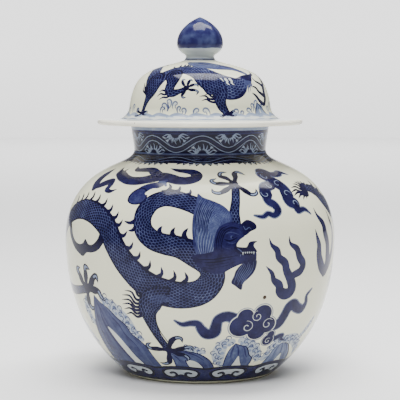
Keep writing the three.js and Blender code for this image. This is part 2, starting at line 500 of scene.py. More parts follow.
def fins(canvas, edge, tips, base=4.8, bend=0.26):
    """Curved fins from a body's edge out to their tips, rising from a low crest."""
    path = smooth(canvas.flat(edge))
    canvas.line(path, [base * 0.3, base * 0.62, base * 0.62, base * 0.3], 0.88)
    for tip in canvas.flat(tips):
        mm = (path - tip) / np.stack([canvas.stretch(path[:, 1]), np.ones(len(path))], 1)
        root = path[np.argmin(np.hypot(*mm.T))]
        step = tip - root
        side = np.array([-step[1], step[0]]) * bend
        bow = [root - step * 0.15, root + step * 0.4 - side, root + step * 0.75 - side * 0.6, tip]
        canvas.line(smooth(bow, step=1.0), [base * 1.6, base * 1.05, base * 0.75, base * 0.5, 0.5], 0.88)


def strands(canvas, left, right, count, ink, width=0.55):
    """Hair lines that fan between two guide lines."""
    guides = []
    for guide in (left, right):
        path = smooth(canvas.flat(guide))
        guides.append(path[np.linspace(0, len(path) - 1, 14).astype(int)])
    for n in range(count):
        mix = (n + 0.5) / count
        path = (guides[0] * (1 - mix) + guides[1] * mix)[n % 3:14 - n * 2 % 3]
        canvas.line(smooth(path), [0.3, width, width, 0.3], ink)


def hook(canvas, places, width, ink):
    """One toe: a knuckled finger that ends in a curved talon, pale inside its outline."""
    path = smooth(canvas.flat(places), step=1.0)
    split = int(len(path) * 0.6)
    canvas.line(path[:split + 1], [width, width * 0.8, width * 1.15, width * 0.9], ink)
    canvas.line(path[split - 1:], [width * 0.9, width * 0.85, width * 0.65, width * 0.12], ink)
    canvas.line(path[split + 1:-2], [width * 0.3, width * 0.28, 0.15], 0.35)


def tuft(canvas, root, tips, sweep, ink=0.9, width=2.4):
    """Wavy locks that leave a short root line and taper to their tips."""
    roots = canvas.flat(root)
    ends = canvas.flat(tips)
    for n, end in enumerate(ends):
        t = n / max(len(ends) - 1, 1)
        a = roots[0] + (roots[-1] - roots[0]) * t
        step = end - a
        side = np.array([-step[1], step[0]]) * sweep
        path = smooth([a, a + step * 0.35 + side, a + step * 0.65 - side * 0.7, end])
        canvas.line(path, [width * 1.2, width * 1.05, width * 0.8, 0.4], ink)


def billow(canvas, lobes, curls, gap=0.9):
    """Rounds of cloud that merge: a soft edge, a reserved line round them all, and pale curls."""
    for extra, tone in ((gap + 0.8, 0.5), (gap, 0.08), (0, 0.79)):
        for place, size in lobes:
            canvas.disc(place, size + extra, tone, 0.94)
    for place, size, turns, start, clockwise in curls:
        canvas.spiral(place, size, turns, 0.16, 0.7, start, clockwise)


def ribbon_cloud(canvas, places, widths, ink=0.8):
    """A streamer of cloud with a thin reserved line just inside its soft edge."""
    canvas.stroke(places, [w + 1.8 for w in widths], 0.62)
    canvas.stroke(places, [w + 0.7 for w in widths], 0.3)
    canvas.stroke(places, widths, ink)


def spray(canvas, places, size, side):
    """Foam breaking along a line: a mottled pale wash under scattered hooked crests."""
    canvas.stroke(places, [size * 1.4, size * 2.2, size * 2.2, size], 0.22)
    path = smooth(canvas.flat(places))
    gap = max(2, int(size * 0.55 / STEP))
    for n, at in enumerate(path[::gap]):
        ahead = path[min(n * gap + 1, len(path) - 1)] - path[max(n * gap - 1, 0)]
        face = math.atan2(ahead[1], ahead[0]) + side * math.pi / 2
        u, v = (n * 0.618) % 1, (n * 0.755 + 0.2) % 1
        out = np.array([math.cos(face), math.sin(face)]) * size * (1.7 * v - 0.8)
        t = np.linspace(0, 1, 11)
        turn = face + (u - 0.5) * 2.4 + side * (t * (3.3 + v) - 1.7)
        shrink = size * (0.36 + 0.36 * u) * (1 - 0.5 * t)
        ring = np.stack([np.cos(turn), np.sin(turn)], 1) * shrink[:, None]
        wide = (canvas.stretch(at[1]), 1)
        if n % 2:
            canvas.paint(at + (round_spot(canvas, at, size * 0.34) - out * 0.7 * wide), 0.33)
        canvas.line(smooth(at + (ring + out) * wide, step=1.0), [0.4, 1.2, 1.2, 0.5], 0.56)


def round_spot(canvas, at, size):
    """Offsets round a flat point, in a ring of this many millimetres."""
    angle = np.radians(np.arange(0, 360, 36))
    ring = np.stack([np.cos(angle), np.sin(angle)], 1) * size
    return ring * (canvas.stretch(at[1]), 1)


def rock(canvas, left, right, slit, ink):
    """A peak in blue wash: both sides run from the tip down, with a pale cleft between them."""
    outline = list(left) + list(right[::-1])
    canvas.patch(outline, ink)
    strands(canvas, left, right, 4, ink - 0.06, width=4.4)
    strands(canvas, left[:-1], right[:-1], 3, ink + 0.1, width=1.6)
    canvas.stroke(right, [0.8, 1.2, 1.2, 0.8], 0.86)
    canvas.stroke(left, [0.8, 1.0, 1.0, 0.6], 0.78)
    canvas.fill(slit, 0.76)
    inner = canvas.shapes[-1][0]
    middle = inner.mean(0)
    canvas.paint(middle + (inner - middle) * (0.84, 0.94), 0.13)


def paw(canvas, toes, palm, size=4.4, width=5.4):
    """Toes that spread from a palm."""
    for toe in toes:
        hook(canvas, [palm] + toe, width, 0.93)
    canvas.disc(palm, size, 0.93)


def dragon_body(canvas):
    """The tail, the arch on the left, the long lower body, and the ring behind the mane."""
    tail = [(-122, 200.4), (-115.5, 199), (-110, 194.6), (-107, 188), (-103, 181), (-97.5, 171), (-95, 158)]
    haunch = [(-95, 158), (-95, 144), (-95, 130), (-92.5, 117), (-88, 117), (-84.5, 133), (-83, 150)]
    arch = [(-83, 150), (-76, 167), (-68, 176), (-59.5, 179), (-51, 176), (-44.5, 169), (-40, 160),
            (-38, 151)]
    lower = [(-38, 151), (-35, 140), (-31.5, 129), (-27, 118), (-22.5, 109.5), (-16.5, 103), (-9, 99.5),
             (-2, 101), (2.5, 107), (5, 118), (3.5, 130), (-2, 139)]
    ring = [(-2, 139), (-8, 147), (-14, 150), (-19, 154), (-22.8, 162), (-24.2, 172), (-23.5, 181),
            (-21, 189.5), (-16, 194), (-11, 193.5), (-5.5, 190.5), (-1, 186.5), (4, 180)]
    spine = tail + haunch[1:] + arch[1:] + lower[1:] + ring[1:]
    widths = [5, 15, 20, 21, 21, 20, 20, 21, 21, 21, 21.3, 22, 23, 24.5, 27, 26, 24.3, 22.2, 20.3, 19,
              18.3, 17.9, 17.6, 18]
    fins(canvas, [(-113, 203), (-106, 199), (-102, 192), (-97, 184), (-92, 175), (-90.5, 160), (-91, 140)],
         [(-106, 206), (-100, 202), (-95.5, 195), (-91, 187), (-87, 176), (-86.5, 163), (-87.5, 150)])
    fins(canvas, [(-80, 170), (-73, 180), (-66, 186), (-58.5, 187.5), (-51, 186), (-44.5, 181),
                  (-39, 173), (-35.5, 163), (-33, 153), (-30, 143), (-27, 135), (-23.5, 127.5),
                  (-20, 121.5), (-15.5, 116.5), (-10.5, 113.5), (-6, 112.5)],
         [(-75, 190), (-69.5, 193), (-64.5, 195.5), (-58.5, 196.5), (-52.5, 194.5), (-46, 191.5),
          (-41, 186), (-36.5, 179.5), (-33.5, 172), (-30.5, 161.5), (-27.5, 151), (-24.3, 142),
          (-20, 133.5), (-15.5, 127.5), (-10.5, 124.5), (-6, 123)])
    fins(canvas, [(-3, 196), (-8, 199), (-13, 201.5), (-18, 201)],
         [(-4.5, 202.5), (-9.7, 205.5), (-15.5, 207.5)], base=4.4)
    fins(canvas, [(-26, 190), (-27.3, 183), (-27.6, 174), (-27.2, 166), (-25.3, 158)],
         [(-32.5, 171), (-30, 162)], base=4.6, bend=-0.16)
    fins(canvas, [(-19, 162), (-15, 159), (-9, 157), (-4, 154.5), (-1, 153)],
         [(-15.3, 167.5), (-10, 166.5), (-4.7, 166)], base=6, bend=-0.2)
    canvas.stroke(spine, widths, 0.93, lay=SKIN, edge=0.6, edge_ink=1.0)
    fan = [(-114, 205), (-117.5, 206.8), (-121, 207), (-124, 206.4), (-127, 204.6), (-130.4, 201.4),
           (-132.6, 197), (-132, 193.6), (-129.8, 190.8), (-126.6, 189.2), (-123.6, 189.6)]
    tuft(canvas, [(-118, 202), (-122, 199), (-119.5, 196)], fan, 0.08, width=3.4)


def dragon_mane(canvas):
    """A wedge of hair swept back from the skull, pale strands over a dark wash."""
    canvas.fill([(-1, 198.5), (1.5, 195), (6, 191.5), (10, 187), (12.7, 180), (13, 172), (9, 166), (7, 158),
                 (7.5, 148), (6, 139), (2.5, 134.5), (-0.5, 137), (-2.2, 146), (-2.9, 156), (-3.2, 168),
                 (-2.7, 180), (-1.5, 190)], 0.65)
    strands(canvas, [(1, 196), (-1, 188), (-2, 176), (-2.2, 160), (-0.5, 140)],
            [(12, 180), (10, 176), (7.5, 167), (6.5, 156), (4.5, 139)], 23, 0.5, width=0.5)
    strands(canvas, [(3, 193), (1, 186), (0, 177), (0, 170)], [(12, 178), (8, 178), (5, 172), (3, 164)], 9,
            0.5)
    strands(canvas, [(2, 195), (5, 187), (7, 178), (8, 170)],
            [(11, 185.5), (12.3, 181), (12.6, 174), (11, 169)], 9, 0.52)
    strands(canvas, [(1, 195), (-1.2, 186), (-2.2, 174), (-2, 158)],
            [(8, 188), (5, 180), (3.5, 170), (3, 156)], 9, 0.92, width=0.7)
    strands(canvas, [(0, 166), (-1.2, 156), (-1, 147), (0.6, 138)],
            [(7, 160), (6.5, 152), (5.5, 145), (4, 139)], 7, 0.4, width=0.6)


def dragon_head(canvas):
    """Skull, curled snout with teeth, jaw and beard."""
    canvas.fill([(-3, 139), (2, 141.5), (6, 144), (9, 146), (14, 146), (18, 144), (22.3, 142), (22.9, 137.5),
                 (22.2, 132.5), (17.5, 131), (13, 127), (9, 122), (5, 121.5), (0, 127)], 0.83)
    strands(canvas, [(-1, 137), (5, 137), (10, 138.5), (15, 140)],
            [(1, 127), (5, 125.5), (10, 128), (14, 132)], 4, 1.0, width=1.2)
    strands(canvas, [(-1, 134), (5, 132), (11, 133.5), (16, 136)],
            [(2, 125), (6, 123.5), (10, 125), (14, 129)], 6, 0.8, width=0.8)
    canvas.fill([(5.5, 143), (5.8, 156), (7.3, 166), (11, 171), (14.5, 171), (17, 167.5), (18.3, 162.5),
                 (18, 158), (16, 154.5), (14.6, 150), (14.5, 146.5), (12, 143), (8, 141.5)], 0.79)
    strands(canvas, [(6, 146), (6.4, 156), (8, 165), (11.4, 169)],
            [(8.6, 144), (9, 153), (10.4, 161), (14, 165.5)], 4, 1.0, width=1.1)
    canvas.stroke([(9.4, 163.5), (12.4, 166.3), (16, 165)], [0.8, 2, 0.8], 1.0)
    canvas.stroke([(14.8, 156.5), (12, 153.5), (9.6, 155)], [0.6, 1.6, 0.6], 1.0)
    canvas.fill([(15.6, 165.5), (17, 170), (19.3, 173.3), (21.8, 171.5), (23.2, 168), (23, 164.5),
                 (20.5, 162), (18, 158.5)], 0.88)
    canvas.stroke([(17.6, 167.5), (18.5, 164), (20, 166), (21, 164)], [0.5, 0.9, 0.9, 0.3], 0.55)
    # snout: the upper lip rises to a curled point
    canvas.fill([(13.5, 147.5), (16.5, 147), (18.6, 147), (19.3, 150), (20.3, 152.3), (23.2, 152.3),
                 (22, 150.3), (21.7, 147.5), (22.6, 144.5), (22.9, 141.5), (19, 141), (14.5, 142)], 0.88)
    canvas.stroke([(14.8, 146), (16.5, 142.5), (16, 138)], [0.5, 1.0, 0.4], 0.5)
    canvas.stroke([(16.6, 141), (18, 140), (20, 140.3), (22.2, 141.5)], [2.6, 2.2, 2.2, 1.4], 1.0)
    for az, tall in ((17.1, 3.4), (18.1, 2), (19, 1.8), (19.9, 1.8), (20.8, 2.2), (21.7, 3)):
        canvas.patch([(az - 0.3, 142.2), (az + 0.3, 142.2), (az, 142.2 - tall)], 0.2)
    # brow, eye and cheek folds, in thinner wash
    canvas.disc((12.6, 157.2), 1.5, 0.62)
    canvas.disc((12.9, 157), 0.9, 1.0)
    canvas.stroke([(10.2, 160.5), (12.5, 161.8), (15.5, 159.5)], [0.5, 1.0, 0.4], 0.66)
    canvas.stroke([(10.5, 152.5), (12.5, 151), (14.5, 152)], [0.4, 1.2, 0.4], 0.66)
    canvas.stroke([(8.5, 150), (9.5, 147), (12, 145.5)], [0.4, 0.9, 0.4], 0.7)
    # beard
    canvas.fill([(22.8, 134), (22.9, 128), (21.7, 121), (19.3, 115), (17.5, 111), (16.8, 104.5), (14, 109),
                 (12.5, 112.3), (13.6, 119), (14.3, 124), (16.5, 130), (19.5, 133)], 0.82)
    strands(canvas, [(17, 131), (15, 124), (14, 117), (13.5, 112)],
            [(22, 132), (21.5, 124), (19, 116), (17, 107)], 7, 0.5, width=0.7)


def dragon_legs(canvas):
    """Both forelegs, and the hind leg that shows behind the arch."""
    # raised foreleg with its five spread toes
    canvas.stroke([(14, 168), (14.4, 180), (15.8, 192), (17.3, 205)], [13, 9.5, 8, 8], 0.9,
                  lay=SKIN, edge=0.4)
    paw(canvas, [[(14, 212.5), (11, 214.5), (12, 217.5), (15.5, 217.8)],
                 [(12, 207.5), (7.5, 208), (5.8, 210.5), (8.5, 212.3)],
                 [(13, 202.5), (9, 199), (6.2, 200), (5.6, 203)],
                 [(19.2, 213), (20, 216.5), (22.5, 218), (26, 215)],
                 [(21, 201.5), (24, 197), (26.8, 198), (27.4, 202)]], (17.2, 207.5))
    # lower foreleg, reaching down, with an elbow tuft
    tuft(canvas, [(-23.5, 96), (-25, 78)], [(-30, 107), (-32.5, 102), (-34, 97), (-34.5, 92), (-34.5, 87.5),
                                            (-34, 82.5), (-33.5, 77)], 0.12, width=2.8)
    canvas.stroke([(-13, 105), (-17, 100), (-21, 91), (-22.3, 81), (-21.7, 70), (-19.8, 57), (-16.5, 44)],
                  [6, 20, 24, 16, 11, 8.5, 8.5], 0.94, lay=SKIN)
    canvas.stroke([(-24.8, 85), (-24.4, 76), (-23, 65), (-20.5, 54), (-18, 46)], [1, 1, 1, 1, 1], 1.0)
    canvas.stroke([(-13, 91), (-16.5, 88.5), (-19.3, 81), (-19.3, 72), (-18, 61), (-15, 49)],
                  [1.2, 1, 1, 1, 1], 1.0)
    strands(canvas, [(-21, 97), (-16, 99), (-10, 96)], [(-21, 90), (-16, 92), (-10, 92)], 5, 0.6, width=0.6)
    paw(canvas, [[(-21, 41.5), (-25.5, 42), (-26.3, 45.5), (-24, 48)],
                 [(-13.8, 50), (-11.5, 54.5), (-8.8, 54.5), (-8.3, 50)],
                 [(-11.5, 41.5), (-7.5, 44), (-4.2, 45), (-3.5, 40.5)],
                 [(-11.5, 37), (-8, 35.5), (-6, 32), (-7, 28.5)],
                 [(-16.2, 33), (-16.8, 27), (-19.5, 24.5), (-22.5, 25.5)]], (-15.5, 41))
    # hind leg behind the arch, with its claw forward on the left
    canvas.stroke([(-92, 118), (-88, 104), (-80, 95), (-70, 93), (-56.5, 97.5)], [22, 16, 11, 9, 8], 0.9,
                  lay=SKIN, edge=0.4)
    tuft(canvas, [(-95, 112), (-92, 97)], [(-104, 115), (-106, 108), (-107, 101), (-106, 94), (-102, 88)],
         0.12, width=4.2)
    paw(canvas, [[(-59, 104), (-61, 111), (-63, 117), (-60, 119)],
                 [(-56, 106), (-55.5, 114), (-55.5, 121), (-52, 119)],
                 [(-52.5, 104), (-50, 111), (-48, 113), (-47.2, 107)],
                 [(-52, 98), (-48, 97.5), (-46.5, 92), (-44.5, 88)],
                 [(-56.5, 90), (-57, 83), (-55.5, 78), (-53, 80)]], (-56, 98), 5.4, 7.6)


def clouds(canvas):
    """All the clouds on the jar."""
    shoulder_clouds(canvas)
    lower_clouds(canvas)


def shoulder_clouds(canvas):
    """The ribbon cloud above the ring, a zigzag one, and a lobed one at the upper right."""
    # ribbon cloud above the ring
    canvas.stroke([(-55.5, 218.8), (-53.5, 215.8), (-49, 213.8), (-45, 211.5), (-39, 209.3), (-33, 209.5),
                   (-27.5, 211.5), (-22, 213.8), (-17, 213), (-11.5, 210.7), (-6.5, 210.6), (-2.6, 212.6),
                   (-1.8, 215.5), (-4, 218), (-8, 219), (-13, 219.6), (-19, 221.3)],
                  [1.2, 9, 12, 12, 12.5, 13, 13.5, 15, 15, 14, 13, 12.5, 12, 11, 9, 6, 0.5], 0.82)
    canvas.stroke([(-44.5, 221.8), (-41.5, 219.2), (-36, 219.4), (-31, 219.6), (-27, 217.4), (-23.5, 215)],
                  [0.8, 7, 9, 10, 11, 11], 0.82)
    canvas.stroke([(-57, 220.5), (-54.5, 217.2), (-50, 216)], [0.5, 5, 6], 0.9)
    canvas.stroke([(-50.2, 219.8), (-51, 217), (-52.5, 214.5)], [0.5, 4, 6], 0.9)
    # small zigzag cloud
    canvas.stroke([(-65, 218.5), (-65.3, 213), (-64.8, 207), (-62, 200.5)], [1.5, 12, 13, 10], 0.82)
    canvas.stroke([(-63, 200), (-58.5, 203), (-54.5, 206), (-51.5, 207.2), (-50, 203.5), (-50.3, 199.8),
                   (-47, 198), (-43.5, 200.3)], [6, 8, 10, 10, 8, 6, 4.4, 1], 0.82)
    # lobed cloud at the upper right, with its streamers
    ribbon_cloud(canvas, [(36, 215), (39.5, 217.6), (44.1, 214.6), (49, 214.6), (53, 216), (58, 213.4)],
                 [9, 12, 9, 8, 6, 0.6])
    ribbon_cloud(canvas, [(37, 214), (40.5, 209), (43.5, 203), (44, 197), (42.8, 189.5), (46.1, 185.2),
                          (46.3, 179.6), (51, 180.2), (54.5, 175)], [13, 14, 14, 15, 13, 11, 6, 4, 0.6])
    ribbon_cloud(canvas, [(38, 206), (33, 203), (31.6, 197.2), (31.4, 190.6), (34, 186.3), (34.9, 180.7),
                          (32.4, 176.4), (29.6, 178.4), (26.8, 175.6), (23, 177.2)],
                 [9, 12, 12, 9.6, 9, 8, 5.6, 4.6, 3.4, 0.6])
    for place, size, start in (((38, 213), 7.6, 120), ((42.2, 205.5), 8.4, 40), ((36.4, 204.6), 6, 150),
                               ((43.9, 195.8), 8.6, 0), ((46, 186.4), 7.2, -20), ((31.6, 197.4), 7.4, 160)):
        canvas.disc(place, size, 0.82)
        canvas.spiral(place, size * 0.72, 0.62, 0.34, 0.8, start)


def lower_clouds(canvas):
    """The big cloud under the head, a small one beside it, and a cusped one in the arch."""
    # big cloud under the head with a streamer each way
    ribbon_cloud(canvas, [(-11, 73.5), (-7.8, 69.5), (-4, 70.8), (-1, 70.2), (0.6, 64.5), (3, 59.5),
                          (6.3, 61), (7, 67.5), (8, 74.5), (11.5, 77.5), (16, 74)],
                 [0.6, 4, 5.5, 7, 9.5, 11.5, 11.5, 10, 10, 10.5, 11])
    ribbon_cloud(canvas, [(33, 63), (37.5, 66), (39.7, 74), (41.3, 82), (44, 84.5), (47, 80.5), (50.5, 78.5),
                          (52.5, 84.5), (52, 92), (55.2, 98.5)], [9, 11, 11, 11, 12, 10.5, 9, 5, 3, 0.5])
    lobes = (((26.5, 60), 10.2), ((20, 76.5), 8.8), ((18.5, 66.5), 12.6), ((28, 78.5), 10.2),
             ((31.3, 66), 9.6), ((25, 69), 8))
    billow(canvas, lobes, (((21.3, 65.5), 7, 1.15, 100, True), ((25.6, 76), 6.4, 1.25, 100, False),
                           ((31.3, 67), 6.6, 1.1, 40, False)))
    ribbon_cloud(canvas, [(35, 50), (38, 50), (41, 52), (42.8, 51.8), (42.6, 48.5), (46.5, 45.5)],
                 [8, 6, 5.4, 4.6, 3, 0.6], 0.84)
    billow(canvas, (((34.2, 49), 6.8), ((35, 55), 4.6)), (((34.3, 48), 3.8, 1.0, 60, False),), gap=0.5)
    # cusped cloud held under the arch
    canvas.fill([(-75, 168), (-71.5, 155), (-68, 146), (-64.5, 139), (-60.5, 134.3), (-56.5, 131.5),
                 (-53.3, 136), (-50, 136.6), (-46.5, 139), (-43.8, 144), (-41.5, 153), (-44.5, 158),
                 (-46, 151), (-49, 145.3), (-52, 144.8), (-54.3, 149.5), (-56.3, 145.3), (-59.5, 143.5),
                 (-63.5, 146), (-66.5, 152), (-68.5, 159), (-71.5, 168)], 0.95)


def flames(canvas):
    """Two fires in front of the dragon: tongues, each drawn from its tip to the root they share."""
    tongues = [
        ([(28.6, 154.5), (29.7, 147.8), (32.3, 142), (33.2, 135), (36.3, 128.8), (37.4, 120.8), (39.6, 112.6),
          (41.2, 104), (40.3, 98.5), (37.5, 97), (34.9, 100.5), (34, 107), (31.2, 112.5), (30.1, 119.5),
          (27.2, 127)],
         [0.6, 4, 7, 7.8, 9, 9.4, 10.4, 11.4, 12, 12, 10.6, 8.6, 6, 4, 0.5]),
        ([(38.5, 155), (39.1, 147.8), (42.6, 142), (44.3, 133.4), (46.6, 126), (45.2, 119), (41.6, 115.6),
          (39.7, 110)],
         [0.6, 4, 7.2, 8.6, 9.2, 8.6, 8, 8]),
        ([(58.3, 180), (59.4, 172.5), (63.4, 163), (64.4, 153.5), (66.6, 143), (67.4, 132), (67.4, 122),
          (64.4, 113)],
         [0.8, 5, 9, 11, 11, 13, 13, 9]),
        ([(55.5, 159), (56.6, 150.5), (58, 142.5), (58.4, 131.5), (60.5, 122), (64.4, 113)],
         [0.8, 6, 10, 12, 13, 10]),
        ([(71, 176), (72.8, 165), (75.2, 153), (74.6, 138), (71.4, 125), (66, 113)], [0.8, 5, 8, 9, 10, 8])]
    for places, widths in tongues:
        canvas.stroke(places, widths, 0.76)


def scroll_bulb(canvas):
    """A soft bulb at the ring's shoulder, its neck rolled over into an open curl."""
    canvas.stroke([(-30, 196), (-27.8, 201.5), (-24.5, 204.5), (-20.5, 206.5), (-18.2, 210)],
                  [13, 10, 9, 8, 7], 0.72, edge=0.5, edge_ink=0.92)
    canvas.fill([(-33.6, 190), (-33.8, 196), (-31.5, 201.5), (-28, 203), (-25, 200), (-24.5, 193),
                 (-26.5, 188), (-30.5, 187)], 0.92)
    canvas.fill([(-32.9, 190.5), (-33, 196), (-31, 200.7), (-28, 202), (-25.7, 199), (-25.2, 193.5),
                 (-27, 189), (-30.3, 188)], 0.68)
    canvas.fill([(-26, 198), (-23.8, 202), (-21.2, 203), (-19.8, 201.3), (-22.3, 199), (-24.6, 196.5)], 0.05)
    canvas.stroke([(-21, 209), (-18.3, 208.3), (-16.8, 205.6)], [2.6, 4, 2.4], 0.5)


def shore(canvas):
    """Rocks and breaking waves above the foot border."""
    foam = ((6, 1, [(-46, 89.5), (-42, 85.5), (-38, 78), (-34.5, 69), (-32, 59), (-28.5, 51)]),
            (5, 1, [(-58, 62), (-60, 75), (-58.5, 88)]),
            (6, -1, [(15, 50), (11.5, 48), (9.5, 40), (9.5, 31), (11, 24)]),
            (6, 1, [(20, 51), (23, 48.5), (27, 41), (30.5, 33.5), (33, 27)]),
            (6, 1, [(37, 28), (41, 43), (47, 46), (54, 45), (60, 38), (66, 27)]),
            (4, 1, [(-8, 43), (-3, 42), (2, 38.5)]),
            (4, -1, [(59, 46), (63, 54), (66, 64)]),
            (6, 1, [(75, 36), (80, 50), (87, 60)]),
            (6, 1, [(100, 65), (106, 53), (112, 38)]))
    for size, side, places in foam:
        spray(canvas, places, size, side)
    rock(canvas, [(-51.5, 92.5), (-54.5, 74), (-58, 56), (-59.5, 42), (-61, 28), (-62, 14)],
         [(-51.5, 92.5), (-48, 86), (-43.5, 80.5), (-39.5, 72), (-35.5, 65), (-33.5, 56), (-30, 49.5),
          (-27.3, 43), (-25.5, 33.5), (-22, 18.5)],
         [(-48.8, 62), (-43, 53), (-39, 41), (-36, 29.5), (-32, 18.5), (-37, 17.5), (-40.5, 23), (-44, 36),
          (-47, 48)], 0.6)
    canvas.stroke([(-49.5, 80), (-49.5, 66), (-47.5, 52), (-44.5, 38), (-40.5, 22)],
                  [0.6, 3.4, 4, 4, 2.4], 0.74)
    rock(canvas, [(-15.5, 37.5), (-14, 28), (-13.5, 19)],
         [(-15.5, 37.5), (-10, 40.5), (-5, 39.5), (0, 36.5), (4, 31.5), (6.5, 26), (8.3, 19)],
         [(-8, 29.5), (-3, 29), (1, 24), (2, 19.5), (-5, 19.5)], 0.58)
    rock(canvas, [(17.2, 48), (14.8, 41.5), (13.2, 31), (12.8, 18.5)],
         [(17.2, 48), (20, 45.5), (23.5, 43), (26.3, 34), (29, 29), (28.5, 18.5)],
         [(20.3, 34), (22, 28), (24.3, 19.5), (17.5, 19.5), (18.6, 27)], 0.56)
    rock(canvas, [(45, 43), (41.5, 38), (40, 29), (37.5, 18.5)],
         [(45, 43), (50.5, 41), (55, 34), (60, 25), (63, 18)],
         [(49, 31), (52, 25), (54, 19), (47, 19)], 0.48)
    rock(canvas, [(96, 68), (91, 56), (84, 40), (79, 18)],
         [(96, 68), (101, 56), (106, 42), (110, 30), (114, 18)],
         [(96, 44), (99, 34), (101, 22), (94, 20), (94, 34)], 0.54)
    canvas.stroke([(-48, 96), (-46.5, 92.5), (-44, 90.5)], [0.8, 1.4, 0.5], 0.6)


def foot_border(canvas, count=12, first=-12):
    """Cloud-head medallions, their ends curled inward, hung from a scalloped line."""
    band(canvas, 3.0, 19.4, 0.73)
    band(canvas, 3.0, 5.2, 0.9)
    side = [(0, 18.8), (5.2, 18.6), (9.6, 16.8), (11.4, 13.4), (9.8, 9.4), (6.4, 7.9), (3.6, 9.2)]
    inward = [(3.6, 9.2), (2.9, 12), (4.3, 14.2), (6.4, 13.4)]
    for n in range(count):
        at = first + n * 360 / count
        scallop = [(at + dx, 18.9 + 2.6 * math.cos(math.radians(dx / 15 * 90))) for dx in range(-15, 16, 3)]
        canvas.fill(scallop + [(at, 14)], 0.76)
        canvas.stroke(scallop, [3.0, 2.2, 3.0], 1.0)
        left = [(at - dx, z) for dx, z in side]
        right = [(at + dx, z) for dx, z in side]
        canvas.fill(left + [(at, 11.4)] + right[:0:-1], 0.2)
        for line in (left, right):
            canvas.stroke(line, [2.6, 2.8, 3.2, 3.0], 1.0)
        for way in (-1, 1):
            canvas.stroke([(at + way * dx, z) for dx, z in inward], [2.8, 3.0, 3.6, 3.0], 1.0)
        canvas.stroke([left[-1], (at, 11.4), right[-1]], [2.8, 2.4, 2.8], 1.0)


def band(canvas, low, high, ink):
    """A plain stripe right round, between two heights."""
    circle = np.linspace(-180, 180, 361)
    edges = canvas.wall.along([low, high])
    x = np.radians(circle) * canvas.scale
    canvas.paint(np.vstack([np.stack([x, np.full(361, edges[0])], 1),
                            np.stack([x[::-1], np.full(361, edges[1])], 1)]), ink)


def leaf(canvas, path, width, outline):
    """A leaf with a thin pale outline and a dark blade, along a flat path."""
    path = smooth(path, step=1.0)
    canvas.line(path, [width * 0.6 + 0.3, width + 0.7, width * 0.9 + 0.6, 0.6], outline)
    canvas.line(path, [width * 0.6, width, width * 0.9, 0.3], 0.98)


def flower(canvas, place, way):
    """Pale slivers between dark leaves that fan from a calyx. way is 1 for a flower that hangs."""
    for n, angle in enumerate(range(-88, 89, 11)):
        turn = math.radians(angle + 3 * (-1) ** n)
        far = (8.8, 5.6, 7.8, 6.2)[n % 4]
        ray = np.array([1.6 * math.sin(turn), -way * math.cos(turn)])
        bow = np.array([-ray[1], ray[0]]) * (1.1 if angle * way > 0 else -1.1)
        path = canvas.spot(place, [ray * (2.4 + n % 2), ray * far * 0.6 + bow, ray * far])
        canvas.line(smooth(path, step=1.0), [0.5, 1.1, 0.9, 0.3], 0.33)
    for side in (-1, 1):
        pocket = [(side * 8.2, -way * 4.4), (side * 11.6, -way * 1.9), (side * 15.2, -way * 0.9),
                  (side * 12.4, -way * 3.3), (side * 9.2, -way * 6.3)]
        canvas.paint(smooth(canvas.spot(place, pocket), closed=True), 0.28)
        blade = [(side * 8, -way * 2.6), (side * 10.6, -way * 3.6), (side * 12.6, -way * 2.6)]
        canvas.line(smooth(canvas.spot(place, blade), step=1.0), [0.8, 1.5, 0.3], 0.95)


def neck_scroll(canvas, count=8, first=-43):
    """An undulating stem with a lotus spray in every bay, on a dark ground."""
    pitch = 360 / count
    # painted shade: a grey-blue strip right under the rim, for the shadow that the lid's flange casts on the
    # neck
    band(canvas, 258.6, 261.6, 0.3)
    band(canvas, 254.2, 258.6, 0.72)
    band(canvas, 256.4, 257.6, 0.9)
    band(canvas, 254.0, 254.9, 0.95)
    band(canvas, 235.4, 254.2, 0.95)
    band(canvas, 232.6, 233.8, 0.9)
    band(canvas, 233.8, 235.4, 0.5)
    for n in range(count):
        at = first + n * pitch
        for way, middle, height in ((1, at + pitch / 2, 252.8), (-1, at, 237.2)):
            flower(canvas, (middle, height + way * 0.6), way)
    wave = [(first + a, 245 + 6 * math.cos(math.radians(a / pitch * 360))) for a in np.arange(0, 361, 5.625)]
    for n in range(count * 2):
        side = (-1) ** n
        at = first + (n + 0.5) * pitch / 2
        for dx in (-2.6, 2.6):
            spur = [(at + dx, 245 + side * dx * 0.7), (at + dx * 1.7, 245 - side * dx * 0.4),
                    (at + dx * 1.9, 245 - side * dx * 1.5)]
            leaf(canvas, canvas.flat(spur), 2.4, outline=0.36)
    canvas.stroke(wave, [5.8, 5.8], 0.32)
    canvas.stroke(wave, [4.4, 4.4], 0.97)
    canvas.stroke(wave, [0.5, 0.5], 0.72)


